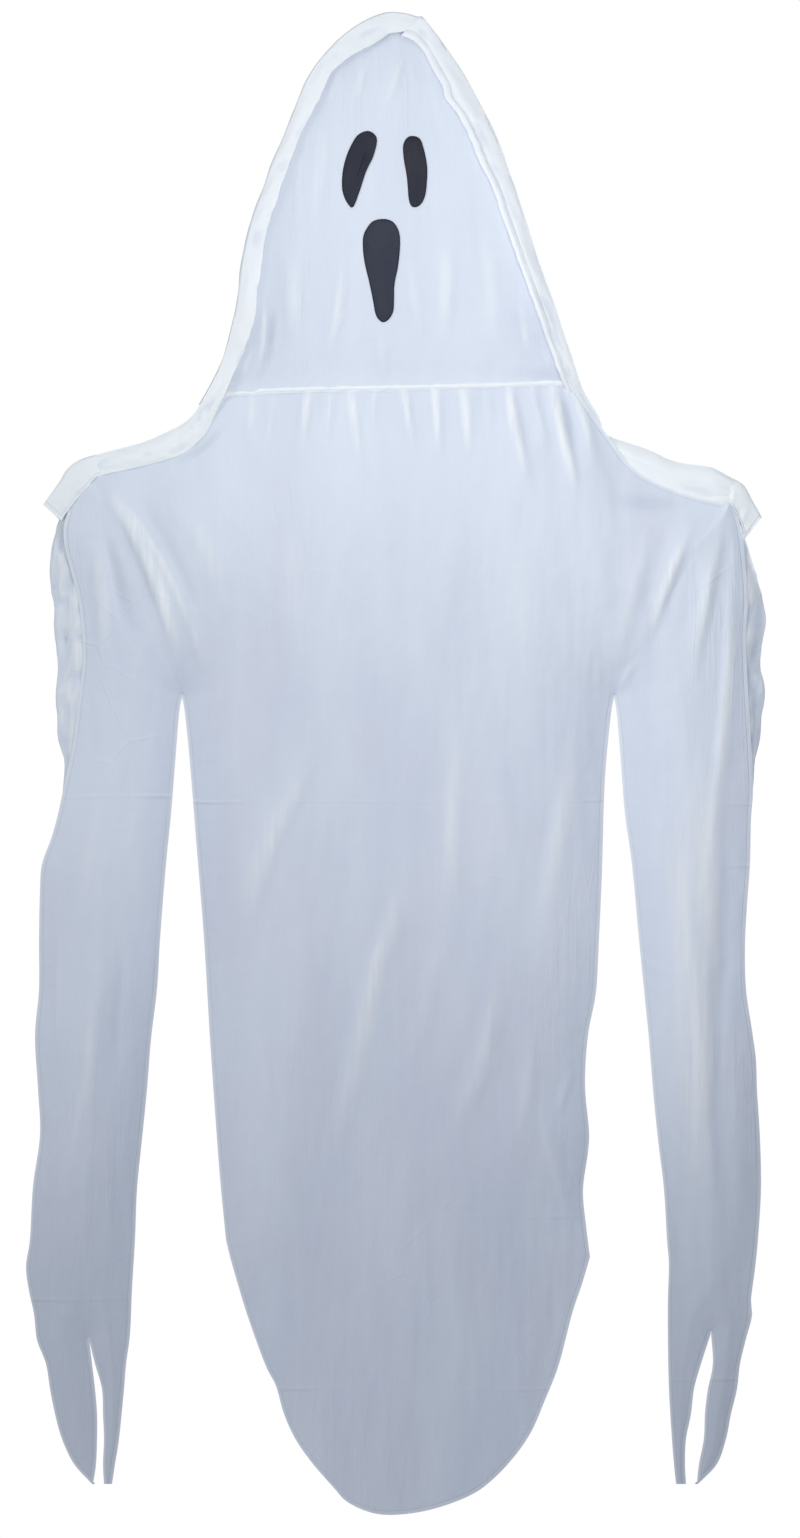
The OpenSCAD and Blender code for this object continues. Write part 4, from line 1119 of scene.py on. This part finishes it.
def faceSides(rows):
    # column of each side at the pixel rows, and how far the hood's border stands out there
    sides = []
    for side in (-1, 1):
        line, inner, crest = hoodEdges(side)[:3]
        wide = np.linalg.norm(inner - line, axis=1)
        edge = inner + (line - inner) * (faceCut['lap'] / wide)[:, None]
        order = np.argsort(edge[:, 1])
        sides.append(np.interp(rows, edge[order, 1], edge[order, 0]))
        sides.append(np.interp(rows, edge[order, 1], crest[order]))
    return sides


def faceDepth(px, py):
    left, leftCrest, right, rightCrest = [a.reshape(px.shape) for a in faceSides(py.reshape(-1))]
    share = np.clip((px - left) / np.maximum(right - left, 1), 0, 1)
    least = np.where(py < faceCut['crownRow'], faceCut['crownLeast'], faceCut['least'])
    rim = np.maximum(least, np.where(share < 0.5, leftCrest, rightCrest) - faceCut['recess'])
    sunk = faceCut['deep'] - (faceCut['deep'] - faceCut['neck']) * smooth((py - 150) / 330) * 1.35
    middle = np.minimum(sunk, np.maximum(least, hoodReach(py, hoodCut['front']) - faceCut['recess']))
    near = np.minimum(share, 1 - share)
    flat = smooth(near / 0.2)
    depth = rim + (np.minimum(middle, rim + 40 * near * 2) - rim) * flat
    depth = depth + (faceCut['neck'] - depth) * smooth((py - 366) / 24)
    hold = smooth(near / 0.1)
    return depth + hold * (foldHeight(px, py, faceFolds) + 0.9 * softNoise(px / 22, py / 120, 51)
                           + 0.6 * softNoise(px / 9, py / 60, 52) + 0.3 * softNoise(px / 7, py / 8, 53))


def makeFace():
    share = np.linspace(0, 1, faceCut['cols'] + 1)[None]
    down = (np.linspace(0, 1, faceCut['rows'] + 1) ** 1.2)[:, None]
    # rows run level at the crown and follow the neck seam at the foot
    rows = faceCut['top'] + (faceCut['foot'] - faceCut['top']) * down[:, 0]
    left, right = faceSides(rows)[::2]
    px = left[:, None] * (1 - share) + right[:, None] * share
    foot = acrossAt([(y, x) for x, y in casing['line']], px[-1]) + 1.5
    py = rows[:, None] + (foot - faceCut['foot'])[None] * smooth((down - 0.5) / 0.5)
    # the face's fold heights, raised by 1.3, set its painted highlight and painted shade
    piece = layCloth('facePanel', toRow(px, py, faceDepth(px, py)), noHem, faceCut['thick'],
                     bunch=foldHeight(px, py, faceFolds) * 1.3)
    finishPiece(piece, faceCloth, 'sheer_cloth', 'face_panel')
    bendAtNeck(piece)


makeFace()

# plain patches for the eyes and mouth, each from its own outline
patches = {
    'leftEyePatch': {
        'node': 'left_eye', 'cloth': eyeBlack,
        'ring': [(367, 131), (374, 134), (377, 141), (373, 157), (366, 172), (359, 193), (353, 207),
                 (348, 204), (343, 193), (342, 180), (344, 165), (349, 150), (357, 136)],
        'crease': [([(374, 136), (363, 166), (351, 200)], 3.5, -1.8, 0.3)]},
    'rightEyePatch': {
        'node': 'right_eye', 'cloth': eyeBlack,
        'ring': [(412, 136), (420, 139), (424, 150), (427, 166), (427, 180), (425, 196), (420, 205),
                 (413, 207), (409, 200), (407, 178), (404, 160), (403, 147), (406, 139)],
        'crease': []},
    'mouthPatch': {
        'node': 'mouth', 'cloth': mouthBlack,
        'ring': [(383, 219), (393, 222), (399, 232), (400, 246), (398, 266), (394.5, 284), (394, 300),
                 (393, 312), (388, 320), (382, 322), (376, 315), (373, 300), (369, 281), (365, 264),
                 (363, 248), (364, 234), (372, 222)],
        'crease': []}
}
patchCut = {'gap': 0.7, 'thick': 0.5, 'rings': 18, 'around': 110, 'turnIn': 0.002, 'filled': 0.7}


def addPatch(name, patch):
    ring = np.array(patch['ring'], float)
    closed = curveThrough(np.vstack([ring[-3:], ring, ring[:3]]), patchCut['around'] * 3)
    half = len(closed) // 2
    first = np.argmin(np.hypot(*(closed - ring[0]).T)[:half])
    last = half + np.argmin(np.hypot(*(closed[half:] - ring[0]).T))
    loop = curveThrough(closed[first:last + 1:3], patchCut['around'] + 1)
    loop[-1] = loop[0]
    centre = loop[:-1].mean(0)
    share = np.linspace(0, 1, patchCut['rings'] + 1) ** 0.8
    spread = centre + (loop - centre)[None] * share[:, None, None]
    px, py = spread[..., 0], spread[..., 1]
    rim = nearLine(px, py, loop)[0] * mmPerPixel
    puff = 1 - np.exp(-rim / 5)
    depth = faceDepth(px, py) + patchCut['gap'] + puff + 0.5 * softNoise(px / 6, py / 22, 57) * puff
    depth = depth + foldHeight(px, py, patch['crease']) * puff
    piece = layCloth(name, toRow(px, py, depth), rim, 0, weld=True)
    thicken(piece, patchCut['thick'])
    finishPiece(piece, patch['cloth'], 'black_patch', patch['node'])
    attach(piece, 'head')


for patchName, patch in patches.items():
    addPatch(patchName, patch)
print('face made')


# neck casing, shoulder strips and flaps

def makeCasing():
    line = curveThrough(casing['line'], casing['along'] + 1)
    across = line[:, 0]
    turn = np.linspace(0, 2 * math.pi, casing['around'] + 1)[:, None]
    ripple = softNoise(across / 5, across * 0, 61) * 0.7 + softNoise(across / 11, across * 0, 62) * 0.6
    tall = casing['half'] * (1 + 0.16 * ripple)[None]
    count = np.arange(casing['along'] + 1)
    ends = smooth(np.minimum(count, casing['along'] - count) / 6)
    px = np.broadcast_to(across[None], (casing['around'] + 1, casing['along'] + 1))
    # its front follows the seam in the photograph, its back goes round the rod
    ahead = 0.5 + 0.5 * np.sin(turn)
    tall = tall * ahead + casing['rodHalf'] * (1 - ahead)
    py = line[:, 1][None] * ahead + casing['rodRow'] * (1 - ahead)
    py = py - np.sign(np.cos(turn)) * np.abs(np.cos(turn)) ** 0.7 * tall * (0.35 + 0.65 * ends)[None]
    deep = np.sin(turn) * (casing['deep'] + 0.8 * ripple)[None] * (0.4 + 0.6 * ends)[None]
    piece = layCloth('neckSeam', toRow(px, py, casing['middle'] + deep), noHem, 0, weld=True)
    thicken(piece, casing['thick'], -1, 60)
    finishPiece(piece, borderCloth, 'sheer_cloth', 'neck_casing')
    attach(piece, 'torso')


makeCasing()

# pixel pairs along each strip: the ridge, the lower edge, and mm that it stands out
strips = {
    'left': {
        'pairs': [(225, 354, 241, 356, 27), (217, 374, 232, 377, 23.5), (208, 391, 225, 394, 22),
                  (200, 405, 217, 410, 20), (191, 417, 209, 428, 18), (181, 425, 198, 442, 17),
                  (169, 431, 184, 453, 16), (144, 442, 161, 461.5, 14.5), (114, 450, 130, 469, 13.5),
                  (92, 456.5, 108, 473.5, 12.5), (81, 461.5, 97, 478, 10)],
        'steep': 2.2, 'hem': [(0.88, -1.8), (0.96, -1.4)],
        'ripple': (9, 3.4, 30)},        # short ripples
    'right': {
        'pairs': [(594, 420, 588, 440, 6), (602, 431, 600, 452, 8), (612, 437.5, 618, 470, 8.8),
                  (629, 443, 640, 486, 9.2), (651, 451, 664, 499, 9.2), (668, 459, 684, 506, 9.4),
                  (684, 463.5, 700, 509, 9.8), (700, 465.5, 714, 511, 9.8), (713, 468, 724, 509, 9.6),
                  (728, 476, 733, 506, 7.8), (741, 485, 741, 504, 4.5)],
        'steep': 6.0, 'hem': [(0.9, -1.5)],
        'ripple': (3.2, 9.0, 12)},      # wrinkles along the strip
    'ridge': 1.5, 'behind': 2.2, 'backDrop': 4,
    'along': 120, 'frontCols': 18, 'backCols': 10, 'thick': 1.0, 'flat': (0.085, 0.26), 'area': 0.021
}


def makeStrip(side):
    strip = strips[sideName(side)]
    pairs = curveThrough(strip['pairs'], strips['along'] + 1)
    ridge, low, lift = pairs[:, :2], pairs[:, 2:4], pairs[:, 4]
    run = np.linspace(0, 1, strips['along'] + 1)
    plain = 0 * run
    edge, start, sink = strips['ridge'] + plain, plain, plain
    if side < 0:
        # its upper end lies over the hood's border, its lower edge sinks to the robe
        edge = edge + np.maximum(0, 0.85 * lift - strips['ridge']) * smooth((0.5 - run) / 0.25)
        start = -3.5 * smooth((0.16 - run) / 0.12)
        foot = np.interp(low[:, 0], hang['topAt'], hang['topDepth']) + 1.7
        sink = np.maximum(0, lift - foot) * smooth((run - 0.17) / 0.2)
    along, across, fine = strip['ripple']
    profile = strip['hem'] + [(t, 0.0) for t in np.linspace(1, 0, strips['frontCols'] + 1)]
    laid = []
    for t, drop in profile:
        at = ridge * (1 - t) + low * t
        crush = (1.5 * softNoise(run * along - t, plain + t * across, 71 + side)
                 + 0.7 * softNoise(run * fine, plain + t * 5, 73)) * math.sin(math.pi * t) ** 0.5
        rise = (lift - edge) * (1 - (1 - t) ** strip['steep'])
        depth = edge + rise - sink * smooth((t - 0.45) / 0.55) + drop + start + crush
        laid.append((np.stack([at[:, 0], at[:, 1], depth], axis=1), crush))
    top = depth
    for t in np.linspace(0, 1, strips['backCols'] + 1)[1:]:
        at = ridge * (1 - t) + (low + np.array([0, strips['backDrop']])) * t
        behind = -backDepth(at[:, 0], at[:, 1])[0] - strips['behind']
        depth = top + (behind - top) * (1 - (1 - t) ** 5)
        laid.append((np.stack([at[:, 0], at[:, 1], depth], axis=1), plain))
    grid, bunch = [np.stack(part, axis=0) for part in zip(*laid)]
    if side < 0:
        grid, bunch = grid[:, ::-1], bunch[:, ::-1]
    places = toRow(*np.moveaxis(grid, -1, 0))
    piece = layCloth(sideName(side) + 'ShoulderStrip', places, noHem, strips['thick'], 'back', bunch=bunch)
    finishPiece(piece, litShoulderCloth, 'double_cloth', sideName(side) + '_cape')
    if side < 0:
        bendAtNeck(piece)
    else:
        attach(piece, 'torso')


flaps = {
    'left': {'top': [(96, 455.5), (79, 461.5), (67.5, 470.5), (60.5, 482), (44, 505.3)],
             'low': [(104, 472), (95, 478), (88, 487), (79, 496.5), (61, 520.5)], 'depth': (14.5, 2.2),
             'flat': (0.08, 0.09), 'area': 0.0070},
    'right': {'top': [(728, 477), (743, 486), (752, 502), (761, 518)],
              'low': [(728, 498), (734, 510), (741, 524), (745, 538)], 'depth': (12, 2.2),
              'flat': (0.07, 0.075), 'area': 0.0049},
    'along': 40, 'across': 24, 'thick': 1.6
}


def makeFlap(side):
    flap = flaps[sideName(side)]
    top = curveThrough(flap['top'], flaps['along'] + 1)
    low = curveThrough(flap['low'], flaps['along'] + 1)
    first = straight(top[0], low[0], flaps['across'] + 1)
    last = straight(top[-1], low[-1], flaps['across'] + 1)
    half = fillPatch(top, low, first, last)
    # up the front, over the ridge and down the back
    grid = np.concatenate([half[::-1], half[1:]])
    px, py = grid[..., 0], grid[..., 1]
    u = np.linspace(0, 1, flaps['along'] + 1)[None]
    t = np.linspace(-1, 1, 2 * flaps['across'] + 1)[:, None]
    base = flap['depth'][0] * (1 - u) + flap['depth'][1] * u - 5 * smooth((0.2 - u) / 0.2)
    depth = np.sign(-t) * np.abs(t) ** 0.5 * base
    depth = depth + (1.2 * softNoise(px / 9, py / 9, 81) + 0.7 * softNoise(px / 4, py / 5, 82)) * np.abs(t)
    places = toRow(px, py, depth)
    edge = np.minimum((1 - np.abs(t)) * 30, (1 - u) * 60) + 8
    if side > 0:
        places, edge = places[:, ::-1], edge[:, ::-1]
    piece = layCloth(sideName(side) + 'Flap', places, edge, flaps['thick'], 'back')
    finishPiece(piece, litShoulderCloth, 'double_cloth', sideName(side) + '_shoulder_flap')
    sleeveBend(piece, side)
    sideName(side) + '_shoulder_bar'


for makeBoth in (makeStrip, makeFlap):
    makeBoth(-1)
    makeBoth(1)
print('shoulders made')


# tapes on the frame, inside the cloth

tape = {
    'thick': 0.6,
    'barRound': 4.9, 'rise': 7.0, 'tip': 0.4,       # mm, the turn over a shoulder bar
    'turn': 0.80, 'steps': 33, 'cols': 9,
    'wide': 0.022, 'flat': (0.022, 0.052), 'area': 0.00104,
    'tieRound': 0.0028, 'tieWide': 0.010, 'tieSides': 32, 'tieFlat': (0.010, 0.114),
    'tieGap': 0.03, 'rodNear': 0.045                # m, between ties, and of rod taken for its slope
}


def nodePoints(name):
    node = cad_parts[name]
    return np.array([node.matrix_world @ v.co for v in node.data.vertices])


def midway(values):
    return (values.min() + values.max()) / 2


def makeTies():
    # a turn of tape round the hoop wherever the frame has a tie
    ties = nodePoints('hood_ties')
    bpy.ops.object.select_all(action='DESELECT')
    rings = []
    for side in (-1, 1):
        rod = nodePoints(sideName(side) + '_hoop_rod')
        heights = np.sort(ties[ties[:, 0] * side > 0][:, 2])
        for group in np.split(heights, np.where(np.diff(heights) > tape['tieGap'])[0] + 1):
            z = (group[0] + group[-1]) / 2
            near = rod[np.abs(rod[:, 2] - z) < tape['rodNear']]
            slope, foot = np.polyfit(near[:, 2], near[:, 0], 1)
            bpy.ops.mesh.primitive_cylinder_add(
                vertices=tape['tieSides'], radius=tape['tieRound'], depth=tape['tieWide'],
                end_fill_type='NOTHING', location=(slope * z + foot, near[:, 1].mean(), z),
                rotation=(0, math.atan(slope), 0))
            rings.append(bpy.context.object)
    for ring in rings:
        ring.select_set(True)
    bpy.ops.object.join()
    piece = bpy.context.object
    piece.name = 'hoopTapes'
    piece.data.name = 'hoopTapes'
    bpy.ops.object.transform_apply(location=True, rotation=True, scale=True)
    thicken(piece, tape['thick'], 1, 40)
    finishPiece(piece, tapeFinish, 'tape', 'hood_ties')
    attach(piece, 'head')


def makeLoop(side):
    # a turn of tape over the bar, closed above it
    node, barName = sideName(side) + '_sleeve_loop', sideName(side) + '_shoulder_bar'
    middle = midway(nodePoints(node)[:, 0])
    bar = nodePoints(barName)
    y, z = midway(bar[:, 1]), midway(bar[:, 2])
    turn = np.linspace(-tape['turn'] * math.pi, tape['turn'] * math.pi, tape['steps'])
    path = np.stack([np.sin(turn), -np.cos(turn)], axis=1) * tape['barRound']
    path = np.vstack([[-tape['tip'], tape['rise']], path, [tape['tip'], tape['rise']]]) / 1000
    across = np.linspace(-0.5, 0.5, tape['cols']) * tape['wide'] + middle
    grid = np.stack(np.broadcast_arrays(across[None], y + path[:, :1], z + path[:, 1:]), axis=-1)
    piece = layCloth(sideName(side) + 'LoopTape', grid, noHem, tape['thick'], 'back')
    finishPiece(piece, tapeFinish, 'tape', node)
    sleeveBend(piece, side)


makeTies()
makeLoop(-1)
makeLoop(1)
print('tapes made')


# frame parts that stay as they are get their finish

moulded = ['crown_connector', 'left_neck_elbow', 'right_neck_elbow', 'neck_clip', 'shoulder_hub',
           'left_bar_cap', 'right_bar_cap']
rods = ['left_hoop_rod', 'right_hoop_rod', 'neck_rod', 'spine_rod', 'left_shoulder_bar',
        'right_shoulder_bar']
for nodeNames, finish in ((moulded, connectorFinish), (rods, rodFinish)):
    for nodeName in nodeNames:
        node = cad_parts[nodeName]
        if not node.material_slots:
            node.data.materials.append(finish)
        for place in node.material_slots:
            place.material = finish
print('frame finished')


# floor, well below the hanging tail

def addFloor():
    bpy.ops.object.select_all(action='DESELECT')
    bpy.ops.mesh.primitive_plane_add(size=7, location=(0, 0, studio['floor']))
    floor = bpy.context.object
    floor.name = 'studioFloor'
    material, flow = newMaterial('paleFloor')
    place = flow.objectPlace()
    cloud = place.noise(1.2, 3.0, 0.5)
    colour = cloud.tint((0.80, 0.81, 0.83), (0.84, 0.85, 0.86))
    closeMaterial(flow, {'Base Color': colour, 'Roughness': 0.85})
    floor.data.materials.append(material)


addFloor()
